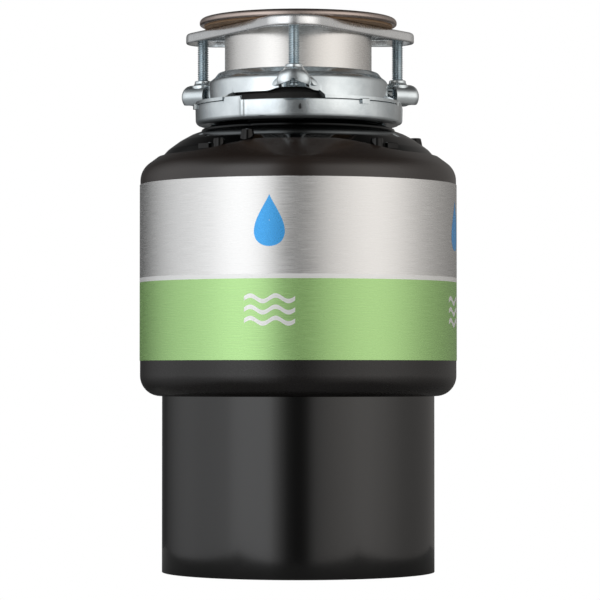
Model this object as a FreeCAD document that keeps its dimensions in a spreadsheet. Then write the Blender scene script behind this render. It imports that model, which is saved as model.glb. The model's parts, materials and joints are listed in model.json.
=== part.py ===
import FreeCAD, Part
import math
import os
import re
import Sketcher
from FreeCAD import Rotation, Vector

# Kitchen food waste disposer, hung from its sink mount.
# Millimetres, +Z up along the motor shaft, front towards -Y.
# The origin is on the shaft's axis at the mouth of the wrench hole, level with the base.

SIZES = [
    # motor shell and lower end frame
    ("shell_r", 76.6), ("shell_wall", 1.4), ("shell_top", 102.5),
    ("wrench_r", 8.0), ("hub_r", 16.0), ("seat_wall_r", 19.0), ("bearing_r", 11.0),
    ("bearing_low", 8.0), ("bearing_high", 20.0), ("plate_low", 3.0), ("plate_high", 7.0),
    ("rim_low", 0.6), ("rim_r", 72.0), ("rim_high", 12.0), ("pillar_r", 5.5),
    ("bolt_ring_r", 66.0), ("bolt_r", 2.4), ("bolt_gap", 0.1), ("bolt_end", 108.0),
    ("bolt_head_r", 4.4), ("bolt_head", 2.0),
    ("box_x", 40.0), ("box_near", 26.0), ("box_far", 58.0), ("box_wall", 2.5), ("box_high", 27.0),
    ("hatch_left", -34.0), ("hatch_right", 4.0), ("hatch_near", 32.0), ("hatch_far", 54.0),
    ("hatch_sheet", 1.2), ("cable_r", 11.1), ("cable_x", 24.0), ("cable_y", 43.0),
    ("small_screw_r", 2.0), ("small_head", 1.2), ("cover_screw_x", -15.0), ("cover_screw_y", 61.5),
    ("ground_screw_x", 12.0), ("ground_screw_y", 30.6),
    ("button_y", -50.0), ("button_r", 6.0), ("button_gap", 0.25), ("button_low", 0.8),
    ("button_collar", 1.3), ("button_stem_r", 2.6), ("button_stem", 3.0),
    ("reset_spring_r", 4.4), ("reset_spring_bore", 3.2), ("reset_spring_high", 5.5),
    ("guard_x", 16.0), ("guard_near", 12.0), ("guard_far", 9.5), ("guard_high", 21.0),
    ("guard_room_x", 11.0), ("guard_room", 7.0),
    # motor
    ("stator_low", 45.0), ("stator_high", 85.0), ("stator_r", 70.0), ("stator_bore", 36.0),
    ("air_gap", 0.5), ("coil_in", 40.0), ("coil_out", 59.5), ("coil_reach", 15.0),
    ("coil_edge", 0.8), ("coil_crown", 3.5),
    ("shaft_r", 8.0), ("shaft_end_r", 6.0), ("shaft_top_r", 6.4), ("shaft_low", 8.2),
    ("shaft_shoulder", 21.7), ("shaft_step", 152.0), ("shaft_top", 171.0), ("running_gap", 0.05),
    ("hex_flats", 6.35), ("hex_depth", 9.0), ("ring_in", 20.0), ("ring_out", 34.0),
    ("ring_height", 4.0), ("washer_thick", 1.5),
    ("switch_left", 21.0), ("switch_right", 33.0), ("switch_half", 9.0), ("switch_high", 20.0),
    ("lever_left", 17.5), ("lever_half", 3.0), ("lever_z", 21.0), ("lever_sheet", 1.2),
    ("weight_low", 24.2), ("weight_foot", 26.5), ("weight_neck", 30.0), ("weight_high", 36.0),
    ("weight_r", 16.0), ("weight_neck_r", 12.0),
    # drain chamber and outlet
    ("drain_low", 103.0), ("drain_floor", 109.0), ("drain_r", 74.0), ("drain_bore", 70.5),
    ("drain_slope", 5.0), ("drain_high", 158.0), ("flange_r", 84.0), ("flange_height", 4.0),
    ("seat_r", 14.0), ("bearing_length", 12.0), ("drain_hub_r", 18.0), ("drain_hub_high", 126.0),
    ("outlet_z", 135.0), ("outlet_r", 17.0), ("boss_start", 50.0),
    ("boss_face", 91.0), ("boss_half", 21.25), ("boss_x", 18.75), ("boss_round", 12.0),
    ("lug_x", 31.0), ("lug_r", 7.5), ("lug_round", 6.0), ("outlet_thread", 9.0),
    ("tube_r", 19.05), ("tube_wall", 1.75), ("tube_gap", 0.2), ("collar_wide", 21.0),
    ("outlet_gasket", 3.0), ("tube_collar", 2.5), ("outlet_plate", 2.5),
    ("elbow_r", 28.0), ("elbow_y", 100.0), ("tube_end", 72.0), ("flange_screw_ring", 80.0),
    ("flange_screw", 11.5), ("flange_screw_head", 2.0), ("outlet_screw", 15.0),
    ("outlet_screw_head", 2.8), ("window_rim", 3.0), ("window_round", 14.0),
    # grinding chamber
    ("gasket_height", 2.0), ("chamber_r", 77.0), ("chamber_bore", 73.0), ("neck_r", 47.5),
    ("neck_bore", 44.5), ("neck_low", 249.5), ("neck_high", 262.0), ("dome_r", 60.5),
    ("dome_round", 40.0), ("tab_r", 56.2), ("tab_low", 254.0), ("tab_height", 3.0),
    ("shred_bore", 70.5), ("shred_high", 186.0), ("notch_half", 3.0), ("notch_high", 9.0),
    ("plate_r", 68.5), ("disc_low", 160.0), ("disc_high", 163.0), ("disc_hub_r", 13.0),
    ("drain_hole_ring", 56.0), ("drain_hole_r", 3.5), ("nut_flats", 19.0), ("nut_high", 6.0),
    ("pivot_r", 45.0), ("pin_r", 4.0), ("pin_gap", 0.08), ("pin_head_r", 6.5), ("pin_head", 2.0),
    ("pin_play", 0.2), ("impeller_low", 163.2), ("impeller_high", 167.8), ("impeller_top", 178.0),
    ("arm_tail", 9.0), ("arm_reach", 20.0), ("arm_half", 7.0), ("hammer_near", 10.0),
    ("hammer_far", 19.0), ("hammer_half", 6.0),
    # casing
    ("casing_r", 89.0), ("casing_wall", 1.6), ("casing_low", 98.5), ("casing_round", 11.5),
    ("casing_gap", 0.2), ("seam_z", 165.0), ("shoulder_z", 225.4), ("shoulder_round", 11.7),
    ("slope", 0.737), ("tongue_r", 70.0), ("scallop_r", 78.0), ("scallop_half", 47.0),
    ("cover_height", 1.1), ("label_low", 118.4), ("label_high", 217.0), ("label_thick", 0.3),
    ("foam_thick", 2.6), ("foam_low", 112.4), ("foam_high", 214.0),
    ("inlet_z", 229.5), ("inlet_r", 11.1), ("inlet_root_r", 11.6), ("inlet_bore", 8.5),
    ("inlet_turn", 28.0), ("inlet_near", 66.0), ("inlet_step", 93.0), ("inlet_end", 107.0),
    ("inlet_rim", 0.4), ("plug_thick", 2.0),
    # sink mount
    ("mount_turn", -2.0), ("sleeve_r", 41.4), ("sleeve_bore", 39.4), ("sleeve_low", 270.0),
    ("seat_bore", 40.4), ("seat_low", 281.0),
    ("sink_z", 307.0), ("sink_top", 311.0), ("sink_r", 55.6), ("sink_dish", 3.0),
    ("groove_low", 277.0), ("groove_high", 278.6), ("groove_r", 40.6), ("snap_r", 42.8),
    ("snap_gap", 3.0), ("gasket_bore", 40.3), ("gasket_tip_r", 44.0), ("gasket_lip", 4.0),
    ("gasket_foot", 3.5), ("gasket_tip", 11.0),
    ("baffle_gap", 0.1), ("baffle_sheet", 2.0), ("baffle_low", 274.0), ("baffle_high", 280.0),
    ("baffle_hole_r", 11.0), ("slit_near", 9.0), ("slit_far", 33.0), ("slit_half", 0.5),
    ("band_r", 58.9), ("band_wall", 2.0), ("band_floor", 2.2), ("band_low", 250.7),
    ("band_high", 261.6), ("catch_r", 49.0), ("stop_high", 264.0), ("skirt_low", 261.9),
    ("catch_first", -10.0), ("catch_last", 50.0), ("tab_first", -50.0), ("tab_last", -30.0),
    ("cup_r", 50.5), ("cup_wall", 1.8), ("cup_high", 275.0), ("cup_round", 2.0),
    ("hood_foot_r", 43.6), ("window_left", 43.0), ("window_right", 17.0), ("stop_first", 42.5),
    ("stop_last", 30.0), ("window_high", 266.5), ("hood_bore", 41.9), ("hood_low", 279.0),
    ("hood_high", 280.5),
    ("ear_r", 6.65), ("ear_bore", 4.9), ("ear_z", 270.0), ("ear_near", 50.0), ("ear_far", 76.5),
    ("ear_end", 5.5), ("ear_wall", 3.0),
    ("screw_ring", 64.5), ("screw_r", 3.175), ("screw_gap", 0.075), ("screw_low", 267.5),
    ("slot_x", 4.0), ("slot_half", 0.6), ("slot_deep", 2.0),
    ("collar_r", 5.0), ("collar_high", 279.3), ("clamp_low", 300.0), ("clamp_high", 306.0),
    ("clamp_wall", 1.5), ("clamp_corner", 17.3), ("clamp_centre", 55.5), ("clamp_bore", 42.5),
    ("washer_wide", 10.5),
]

doc = FreeCAD.newDocument("disposer")
sheet = doc.addObject("Spreadsheet::Sheet", "Sizes")
for row, (alias, number) in enumerate(SIZES, start=1):
    sheet.set(f"A{row}", alias)
    sheet.set(f"B{row}", str(number))
    sheet.setAlias(f"B{row}", alias)
doc.recompute()
ALIASES = {alias for alias, number in SIZES}
parts = []


# Helpers: every size is an expression of the sheet's aliases.

def value(expression):
    return float(sheet.evalExpression(str(expression)))


def linked(expression):
    def prefix(word):
        return "Sizes." + word.group(0) if word.group(0) in ALIASES else word.group(0)
    return re.sub(r"[a-z_]\w*", prefix, str(expression))


def new_part(label):
    body = doc.addObject("PartDesign::Body", label)
    body.Label = label
    parts.append(body)
    return body


def turn_part(body, angle):
    """Turn a whole sub-part about the motor axis."""
    body.setExpression("Placement", "placement(vector(0; 0; 0); "
                       f"rotation(vector(0; 0; 1); {linked(angle)}))")


def new_sketch(body, role, offset="0", turn="0"):
    """A sketch on one of the body's origin planes; turn is about the sketch's own Y axis."""
    sketch = body.newObject("Sketcher::SketchObject", body.Label + "_sketch")
    plane = [item for item in body.Origin.OriginFeatures if item.Role == role][0]
    sketch.AttachmentSupport = (plane, [""])
    sketch.MapMode = "FlatFace"
    offset, turn = linked(offset), linked(turn)
    sketch.setExpression("AttachmentOffset", "placement("
                         f"vector(({offset}) * sin({turn}); 0; ({offset}) * cos({turn})); "
                         f"rotation(vector(0; 1; 0); {turn}))")
    return sketch


def bind(sketch, constraint, expression):
    index = sketch.addConstraint(constraint)
    sketch.setExpression(f"Constraints[{index}]", linked(expression))


def fix_point(sketch, geometry, position, across, upward):
    bind(sketch, Sketcher.Constraint("DistanceX", -1, 1, geometry, position, value(across)), across)
    bind(sketch, Sketcher.Constraint("DistanceY", -1, 1, geometry, position, value(upward)), upward)


def outline(sketch, corners):
    """A closed outline; a corner is (across, upward) or (across, upward, rounding radius)."""
    count = len(corners)
    places = [Vector(value(corner[0]), value(corner[1]), 0) for corner in corners]
    entries, exits = [], []
    for index, corner in enumerate(corners):
        here = places[index]
        if len(corner) == 2:
            entries.append(here)
            exits.append(here)
            continue
        to_last = (places[index - 1] - here).normalize()
        to_next = (places[(index + 1) % count] - here).normalize()
        setback = value(corner[2]) / tan_of_half(to_last, to_next)
        entries.append(here + to_last * setback)
        exits.append(here + to_next * setback)
    lines = [sketch.addGeometry(Part.LineSegment(exits[index], entries[(index + 1) % count]))
             for index in range(count)]
    for index, corner in enumerate(corners):
        before, after = lines[index - 1], lines[index]
        if len(corner) == 2:
            sketch.addConstraint(Sketcher.Constraint("Coincident", before, 2, after, 1))
            fix_point(sketch, after, 1, corner[0], corner[1])
            continue
        arc = sketch.addGeometry(corner_arc(entries[index], places[index], exits[index]))
        starts_at_entry = sketch.getPoint(arc, 1).distanceToPoint(entries[index]) < 1e-6
        first, last = (1, 2) if starts_at_entry else (2, 1)
        sketch.addConstraint(Sketcher.Constraint("Tangent", before, 2, arc, first))
        sketch.addConstraint(Sketcher.Constraint("Tangent", arc, last, after, 1))
        bind(sketch, Sketcher.Constraint("Radius", arc, value(corner[2])), corner[2])
        point = sketch.addGeometry(Part.Point(places[index]), True)
        fix_point(sketch, point, 1, corner[0], corner[1])
        sketch.addConstraint(Sketcher.Constraint("PointOnObject", point, 1, before))
        sketch.addConstraint(Sketcher.Constraint("PointOnObject", point, 1, after))
    return sketch


def tan_of_half(one, other):
    """Tangent of half the angle between two unit vectors."""
    cosine = one.dot(other)
    return ((1 - cosine) / (1 + cosine)) ** 0.5


def corner_arc(entry, corner, leave):
    """The arc tangent to both sides of a corner, from entry to leave."""
    middle = (entry + leave) * 0.5
    half_chord = entry.distanceToPoint(middle)
    height = corner.distanceToPoint(middle)
    centre = middle + (middle - corner) * (half_chord / height) ** 2
    radius = centre.distanceToPoint(entry)
    top = centre + (corner - centre).normalize() * radius
    return Part.Arc(entry, top, leave)


def box_outline(sketch, left, right, low, high):
    return outline(sketch, [(left, low), (right, low), (right, high), (left, high)])


def circles(sketch, rounds):
    """Circles given as (across, upward, radius)."""
    for across, upward, radius in rounds:
        centre = Vector(value(across), value(upward), 0)
        circle = sketch.addGeometry(Part.Circle(centre, Vector(0, 0, 1), value(radius)))
        fix_point(sketch, circle, 3, across, upward)
        bind(sketch, Sketcher.Constraint("Radius", circle, value(radius)), radius)
    return sketch


def sector(sketch, inner, outer, first, last):
    """A piece of a ring between two angles in degrees, centred on the motor axis."""
    start = Vector(1, 0, 0)
    angles = [value(first), value(last)]
    rays = [Rotation(Vector(0, 0, 1), angle).multVec(start) for angle in angles]
    middle_ray = Rotation(Vector(0, 0, 1), sum(angles) / 2).multVec(start)
    arcs = []
    for radius in (inner, outer):
        size = value(radius)
        arc = sketch.addGeometry(Part.Arc(rays[0] * size, middle_ray * size, rays[1] * size))
        sketch.addConstraint(Sketcher.Constraint("Coincident", arc, 3, -1, 1))
        bind(sketch, Sketcher.Constraint("Radius", arc, size), radius)
        arcs.append(arc)
    for angle, ray in zip((first, last), rays):
        line = sketch.addGeometry(Part.LineSegment(ray * value(inner), ray * value(outer)))
        for end, arc in enumerate(arcs, start=1):
            here = sketch.getPoint(line, end)
            near_start = sketch.getPoint(arc, 1).distanceToPoint(here) < 1e-6
            arc_end = 1 if near_start else 2
            sketch.addConstraint(Sketcher.Constraint("Coincident", line, end, arc, arc_end))
        sketch.addConstraint(Sketcher.Constraint("PointOnObject", -1, 1, line))
        bind(sketch, Sketcher.Constraint("Angle", line, math.radians(value(angle))), angle)
    return sketch


def check_change(body, feature, before, grows):
    """Stop if a feature that should add material removes it, or the other way round."""
    after = feature.Shape.Volume
    if grows != (after > before):
        raise RuntimeError(f"{body.Label}: {feature.Name} changes {before:.1f} to {after:.1f}")


def add_feature(body, kind, sketch, settings):
    """Add one PartDesign feature; also gives the body's volume before it."""
    before = body.Shape.Volume if body.Tip else 0.0
    feature = body.newObject("PartDesign::" + kind, body.Label + "_" + kind.lower())
    feature.Profile = sketch
    for name, setting in settings.items():
        setattr(feature, name, setting)
    return feature, before


def extrude(body, kind, sketch, length, backwards=False, both=False):
    settings = {"Reversed": backwards, "SideType": "Symmetric" if both else "One side"}
    feature, before = add_feature(body, kind, sketch, settings)
    feature.Length = value(length)
    feature.setExpression("Length", linked(length))
    doc.recompute()
    check_change(body, feature, before, kind == "Pad")
    return feature


def pad(body, sketch, length, **options):
    return extrude(body, "Pad", sketch, length, **options)


def pocket(body, sketch, length, **options):
    return extrude(body, "Pocket", sketch, length, **options)


def revolve(body, kind, sketch, axis="V_Axis"):
    settings = {"ReferenceAxis": (sketch, [axis]), "Angle": 360}
    feature, before = add_feature(body, kind, sketch, settings)
    doc.recompute()
    check_change(body, feature, before, kind == "Revolution")
    return feature


def polar(body, features, count):
    pattern = body.newObject("PartDesign::PolarPattern", body.Label + "_pattern")
    pattern.Originals = features
    z_axis = [item for item in body.Origin.OriginFeatures if item.Role == "Z_Axis"][0]
    pattern.Axis = (z_axis, [""])
    pattern.Angle = 360
    pattern.Occurrences = count
    body.Tip = pattern
    doc.recompute()
    return pattern


def turned_part(label, corners):
    """A sub-part turned about the motor axis from one closed outline in (radius, height)."""
    body = new_part(label)
    revolve(body, "Revolution", outline(new_sketch(body, "XZ_Plane"), corners))
    return body


def ring_part(label, inner, outer, low, high):
    return turned_part(label, [(inner, low), (outer, low), (outer, high), (inner, high)])


def groove(body, corners):
    return revolve(body, "Groove", outline(new_sketch(body, "XZ_Plane"), corners))


def drill(body, rounds, low, length, role="XY_Plane", **options):
    return pocket(body, circles(new_sketch(body, role, low), rounds), length, **options)


def post(body, rounds, low, length, role="XY_Plane", **options):
    return pad(body, circles(new_sketch(body, role, low), rounds), length, **options)


def hexagon(sketch, flats):
    """A hexagon round the motor axis, given its size across the flats."""
    return outline(sketch, [(f"{flats} / sqrt(3) * cos({60 * side})",
                             f"{flats} / sqrt(3) * sin({60 * side})") for side in range(6)])


def three_corners(reach, rounding):
    """The rounded corners of a triangle round the motor axis that points to the front."""
    return [(f"({reach}) * cos({angle})", f"({reach}) * sin({angle})", rounding)
            for angle in (-90, 30, 150)]


BOLT_SPOT = ("bolt_ring_r * cos(45)", "bolt_ring_r * sin(45)")
COVER_SCREW = ("cover_screw_x", "cover_screw_y")
GROUND_SCREW = ("ground_screw_x", "ground_screw_y")
BUTTON_SPOT = ("0", "button_y")
PIVOT_SPOTS = [("pivot_r", "0"), ("-pivot_r", "0")]
OUTLET_SPOTS = [("lug_x", "outlet_z"), ("-lug_x", "outlet_z")]


def rounds_at(spots, radius):
    return [spot + (radius,) for spot in spots]


# Motor shell and lower end frame

def trim_shell():
    ring_part("trim_shell", "shell_r - shell_wall", "shell_r", "0", "shell_top")


def lower_end_frame():
    body = turned_part("lower_end_frame", [
        ("wrench_r", "0"), ("hub_r", "0"), ("hub_r", "plate_low"), ("rim_r", "plate_low"),
        ("rim_r", "rim_low"), ("shell_r - shell_wall", "rim_low"),
        ("shell_r - shell_wall", "rim_high"), ("rim_r", "rim_high"), ("rim_r", "plate_high"),
        ("seat_wall_r", "plate_high"), ("seat_wall_r", "bearing_high + 0.5"),
        ("bearing_r", "bearing_high + 0.5"), ("bearing_r", "bearing_low"),
        ("wrench_r", "bearing_low")])
    walls = new_sketch(body, "XY_Plane", "plate_high - 1")
    box_outline(walls, "-box_x", "box_x", "box_near", "box_far")
    pad(body, walls, "box_high - plate_high + 1")
    room = new_sketch(body, "XY_Plane", "plate_high")
    box_outline(room, "box_wall - box_x", "box_x - box_wall", "box_near + box_wall",
                "box_far - box_wall")
    pocket(body, room, "box_high", backwards=True)
    hatch = new_sketch(body, "XY_Plane", "0")
    box_outline(hatch, "hatch_left", "hatch_right", "hatch_near", "hatch_far")
    pocket(body, hatch, "plate_high + 1", backwards=True)
    drill(body, [("cable_x", "cable_y", "cable_r")], "0", "plate_high + 1", backwards=True)
    drill(body, rounds_at([BUTTON_SPOT], "button_r + button_gap"), "0", "plate_high + 1",
          backwards=True)
    drill(body, rounds_at([GROUND_SCREW, COVER_SCREW], "small_screw_r"), "0", "plate_high + 1",
          backwards=True)
    pillar = post(body, rounds_at([BOLT_SPOT], "pillar_r"), "plate_high - 1",
                  "stator_low - plate_high + 1")
    polar(body, [pillar], 4)
    hole = drill(body, rounds_at([BOLT_SPOT], "bolt_r + bolt_gap"), "0", "stator_low + 1",
                 backwards=True)
    polar(body, [hole], 4)


def through_bolts():
    body = new_part("through_bolts")
    body.AllowCompound = True
    low = "plate_low - bolt_head"
    shank = post(body, rounds_at([BOLT_SPOT], "bolt_r"), low, "bolt_end - plate_low + bolt_head")
    head = post(body, rounds_at([BOLT_SPOT], "bolt_head_r"), low, "bolt_head")
    polar(body, [shank, head], 4)


def terminal_cover():
    body = new_part("terminal_cover")
    sheet_outline = new_sketch(body, "XY_Plane", "plate_low - hatch_sheet")
    outline(sheet_outline, [
        ("hatch_left - 3", "hatch_near - 4", "2"), ("hatch_right + 2", "hatch_near - 4", "2"),
        ("hatch_right + 2", "cover_screw_y + 3.5", "4"),
        ("cover_screw_x - 7", "cover_screw_y + 3.5", "4"), ("hatch_left - 3", "hatch_far + 2", "4")])
    pad(body, sheet_outline, "hatch_sheet")
    drill(body, rounds_at([COVER_SCREW], "small_screw_r + bolt_gap"), "0", "plate_low",
          backwards=True)


def small_screw(label, spot, head_low, end):
    """A slotted screw that points up, its head at the bottom."""
    across, forward = spot
    body = new_part(label)
    post(body, rounds_at([spot], "small_screw_r"), head_low, f"{end} - ({head_low})")
    post(body, rounds_at([spot], "small_screw_r * 2"), head_low, "small_head")
    slot = new_sketch(body, "XY_Plane", head_low)
    box_outline(slot, f"{across} - small_screw_r * 1.6", f"{across} + small_screw_r * 1.6",
                f"{forward} - 0.5", f"{forward} + 0.5")
    pocket(body, slot, "small_head / 2", backwards=True)


def overload_protector():
    body = new_part("overload_protector")
    case = new_sketch(body, "XY_Plane", "plate_high")
    box_outline(case, "-guard_x", "guard_x", "button_y - guard_far", "button_y + guard_near")
    pad(body, case, "guard_high")
    tunnel = new_sketch(body, "XZ_Plane", "-button_y")
    box_outline(tunnel, "-guard_room_x", "guard_room_x", "plate_high - 1",
                "plate_high + guard_room")
    pocket(body, tunnel, "4 * guard_near", both=True)


def reset_button():
    body = new_part("reset_button")
    collar_low = "plate_high + 0.2"
    post(body, rounds_at([BUTTON_SPOT], "button_r"), "button_low", f"{collar_low} - button_low")
    post(body, rounds_at([BUTTON_SPOT], "button_r + 2"), collar_low, "button_collar")
    post(body, rounds_at([BUTTON_SPOT], "button_stem_r"), f"{collar_low} + button_collar - 0.1",
         "button_stem")


def reset_spring():
    body = new_part("reset_spring")
    wide = new_sketch(body, "XY_Plane", "plate_high + 0.2 + button_collar")
    circles(wide, rounds_at([BUTTON_SPOT], "reset_spring_r")
            + rounds_at([BUTTON_SPOT], "reset_spring_bore"))
    pad(body, wide, "reset_spring_high")


def start_switch():
    body = new_part("start_switch")
    case = new_sketch(body, "XY_Plane", "plate_high")
    box_outline(case, "switch_left", "switch_right", "-switch_half", "switch_half")
    pad(body, case, "switch_high")
    arm = new_sketch(body, "XY_Plane", "lever_z")
    box_outline(arm, "lever_left", "switch_left + 1", "-lever_half", "lever_half")
    pad(body, arm, "lever_sheet")


# Motor

def stator_core():
    body = ring_part("stator_core", "stator_bore", "stator_r", "stator_low", "stator_high")
    hole = drill(body, rounds_at([BOLT_SPOT], "bolt_r + bolt_gap"), "stator_low - 1",
                 "stator_high - stator_low + 2", backwards=True)
    polar(body, [hole], 4)


def stator_windings():
    body = new_part("stator_windings")
    body.AllowCompound = True
    for low, high, inner, outer in (
            ("stator_low - coil_reach", "stator_low", "coil_crown", "coil_edge"),
            ("stator_high", "stator_high + coil_reach", "coil_edge", "coil_crown")):
        revolve(body, "Revolution", outline(new_sketch(body, "XZ_Plane"), [
            ("coil_in", low, inner), ("coil_out", low, inner),
            ("coil_out", high, outer), ("coil_in", high, outer)]))


def rotor_core():
    ring_part("rotor_core", "shaft_r", "stator_bore - air_gap", "stator_low", "stator_high")


def rotor_end_rings():
    body = new_part("rotor_end_rings")
    body.AllowCompound = True
    for low in ("stator_low - ring_height", "stator_high"):
        sketch = new_sketch(body, "XZ_Plane")
        box_outline(sketch, "ring_in", "ring_out", low, f"{low} + ring_height")
        revolve(body, "Revolution", sketch)


def shaft():
    body = turned_part("shaft", [
        ("0", "shaft_low"), ("shaft_end_r", "shaft_low"), ("shaft_end_r", "shaft_shoulder"),
        ("shaft_r", "shaft_shoulder"), ("shaft_r", "shaft_step"), ("shaft_top_r", "shaft_step"),
        ("shaft_top_r", "shaft_top"), ("0", "shaft_top")])
    socket = hexagon(new_sketch(body, "XY_Plane", "shaft_low"), "hex_flats")
    pocket(body, socket, "hex_depth", backwards=True)


def bearings():
    bore = "shaft_end_r + running_gap"
    ring_part("lower_bearing", bore, "bearing_r", "bearing_low", "bearing_high")
    ring_part("thrust_washer", bore, "bearing_r - 0.5", "bearing_high",
              "bearing_high + washer_thick")
    bore = "shaft_r + running_gap"
    low = "drain_low + 1"
    ring_part("upper_bearing", bore, "seat_r", low, f"{low} + bearing_length")
    ring_part("shaft_seal", bore, "seat_r", f"{low} + bearing_length + 1", "drain_hub_high - 1")


def switch_actuator():
    """The weighted collar that slides down the shaft and works the start switch."""
    bore = "shaft_r + running_gap"
    turned_part("switch_actuator", [
        (bore, "weight_low"), ("weight_r", "weight_low"), ("weight_r", "weight_foot"),
        ("weight_neck_r", "weight_neck"), ("weight_neck_r", "weight_high"), (bore, "weight_high")])


# Drain chamber and outlet

def outlet_outline(sketch):
    """The outlet flange's shape: a wide middle with a lug at each side."""
    corners = []
    for side, level in ((-1, -1), (1, -1), (1, 1), (-1, 1)):
        lug = (f"{side} * (lug_x + lug_r)", f"outlet_z + {level} * lug_r", "lug_round")
        middle = (f"{side} * boss_x", f"outlet_z + {level} * boss_half", "boss_round")
        corners += [lug, middle] if side * level > 0 else [middle, lug]
    return outline(sketch, corners[1:] + corners[:1])


def upper_end_frame():
    """The motor's top end and the drain chamber's floor. The upper bearing's hub stands on it."""
    body = ring_part("upper_end_frame", "seat_r", "shell_r - shell_wall - casing_gap", "drain_low",
                     "drain_floor")
    bolt_hole = drill(body, rounds_at([BOLT_SPOT], "bolt_r"), "drain_low - 1",
                      "bolt_end - drain_low + 1", backwards=True)
    polar(body, [bolt_hole], 4)


def drain_chamber():
    """The wall round the space under the turntable."""
    body = turned_part("drain_chamber", [
        ("drain_bore - drain_slope", "drain_floor"), ("drain_r", "drain_floor"),
        ("drain_r", "drain_high - flange_height"), ("flange_r", "drain_high - flange_height"),
        ("flange_r", "drain_high"), ("drain_bore", "drain_high"),
        ("drain_bore", "drain_floor + drain_slope")])
    drill(body, [("0", "outlet_z", "outlet_r")], "-boss_start", "boss_face", "XZ_Plane")
    screw_hole = drill(body, [("flange_screw_ring", "0", "small_screw_r")], "drain_high - 10",
                       "20", backwards=True)
    polar(body, [screw_hole], 6)


def outlet_boss():
    """The block at the back of the drain chamber that the outlet is screwed to."""
    body = new_part("outlet_boss")
    pad(body, outlet_outline(new_sketch(body, "XZ_Plane", "-boss_start")),
        "boss_face - boss_start", backwards=True)
    flange_low = "drain_high - flange_height"
    groove(body, [
        ("0", "drain_floor"), ("drain_r", "drain_floor"), ("drain_r", flange_low),
        ("flange_r", flange_low), ("flange_r", "drain_high + 1"), ("0", "drain_high + 1")])
    drill(body, [("0", "outlet_z", "outlet_r")], "-boss_start", "boss_face", "XZ_Plane")
    drill(body, rounds_at(OUTLET_SPOTS, "bolt_r"), "-boss_face - 1", "outlet_thread", "XZ_Plane",
          backwards=True)


def chamber_gasket():
    body = ring_part("chamber_gasket", "drain_bore", "flange_r", "drain_high",
                     "drain_high + gasket_height")
    hole = drill(body, [("flange_screw_ring", "0", "small_screw_r")], "drain_high - 1",
                 "gasket_height + 2", backwards=True)
    polar(body, [hole], 6)


def chamber_screws():
    body = new_part("chamber_screws")
    body.AllowCompound = True
    spot = ("flange_screw_ring", "0")
    low = "drain_high - flange_height - flange_screw_head"
    shank = post(body, [spot + ("small_screw_r",)], low, "flange_screw")
    head = post(body, [spot + ("small_screw_r * 1.8",)], low, "flange_screw_head")
    polar(body, [shank, head], 6)


def discharge_gasket():
    body = new_part("discharge_gasket")
    face = new_sketch(body, "XZ_Plane", "-boss_face")
    circles(face, [("0", "outlet_z", "collar_wide"), ("0", "outlet_z", "outlet_r")])
    pad(body, face, "outlet_gasket", backwards=True)


def elbow_path(body, start):
    """The elbow's middle line: out from the boss, a quarter turn, then straight down."""
    path = new_sketch(body, "YZ_Plane")
    out = Vector(value(start), value("outlet_z"), 0)
    bend = Vector(value("elbow_y"), value("outlet_z"), 0)
    middle = Vector(value("elbow_y + elbow_r * sin(45)"),
                    value("outlet_z - elbow_r + elbow_r * cos(45)"), 0)
    drop = Vector(value("elbow_y + elbow_r"), value("outlet_z - elbow_r"), 0)
    finish = Vector(drop.x, value("tube_end"), 0)
    first = path.addGeometry(Part.LineSegment(out, bend))
    arc = path.addGeometry(Part.Arc(bend, middle, drop))
    last = path.addGeometry(Part.LineSegment(drop, finish))
    arc_starts_high = path.getPoint(arc, 1).y > path.getPoint(arc, 2).y
    high_end, low_end = (1, 2) if arc_starts_high else (2, 1)
    path.addConstraint(Sketcher.Constraint("Tangent", first, 2, arc, high_end))
    path.addConstraint(Sketcher.Constraint("Tangent", arc, low_end, last, 1))
    fix_point(path, first, 1, start, "outlet_z")
    fix_point(path, first, 2, "elbow_y", "outlet_z")
    bind(path, Sketcher.Constraint("Radius", arc, value("elbow_r")), "elbow_r")
    fix_point(path, last, 2, "elbow_y + elbow_r", "tube_end")
    return path


def discharge_tube():
    body = new_part("discharge_tube")
    start = "boss_face + outlet_gasket"
    bore = ("0", "outlet_z", "tube_r - tube_wall")
    profile = circles(new_sketch(body, "XZ_Plane", f"-({start})"),
                      [("0", "outlet_z", "tube_r"), bore])
    pipe = body.newObject("PartDesign::AdditivePipe", "discharge_tube_pipe")
    pipe.Profile = profile
    pipe.Spine = (elbow_path(body, start), ["Edge1", "Edge2", "Edge3"])
    doc.recompute()
    collar = circles(new_sketch(body, "XZ_Plane", f"-({start})"),
                     [("0", "outlet_z", "collar_wide"), bore])
    pad(body, collar, "tube_collar", backwards=True)


def discharge_flange():
    body = new_part("discharge_flange")
    face = "-boss_face - outlet_gasket - tube_collar"
    pad(body, outlet_outline(new_sketch(body, "XZ_Plane", face)), "outlet_plate", backwards=True)
    drill(body, [("0", "outlet_z", "tube_r + tube_gap")], "-boss_face", "12", "XZ_Plane")
    drill(body, rounds_at(OUTLET_SPOTS, "bolt_r + bolt_gap"), "-boss_face", "12", "XZ_Plane")


def discharge_screws():
    body = new_part("discharge_screws")
    body.AllowCompound = True
    head_face = "-boss_face - outlet_gasket - tube_collar - outlet_plate"
    post(body, rounds_at(OUTLET_SPOTS, "bolt_r"), f"{head_face} + outlet_screw", "outlet_screw",
         "XZ_Plane", backwards=True)
    post(body, rounds_at(OUTLET_SPOTS, "bolt_head_r"), head_face, "outlet_screw_head", "XZ_Plane",
         backwards=True)


# Grinding chamber

def dome_z(radius, lift):
    """Height of the chamber's sloping shoulder at a radius, raised by lift."""
    return f"shoulder_z + (casing_r - ({radius})) * slope - cover_height + {lift}"


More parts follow.
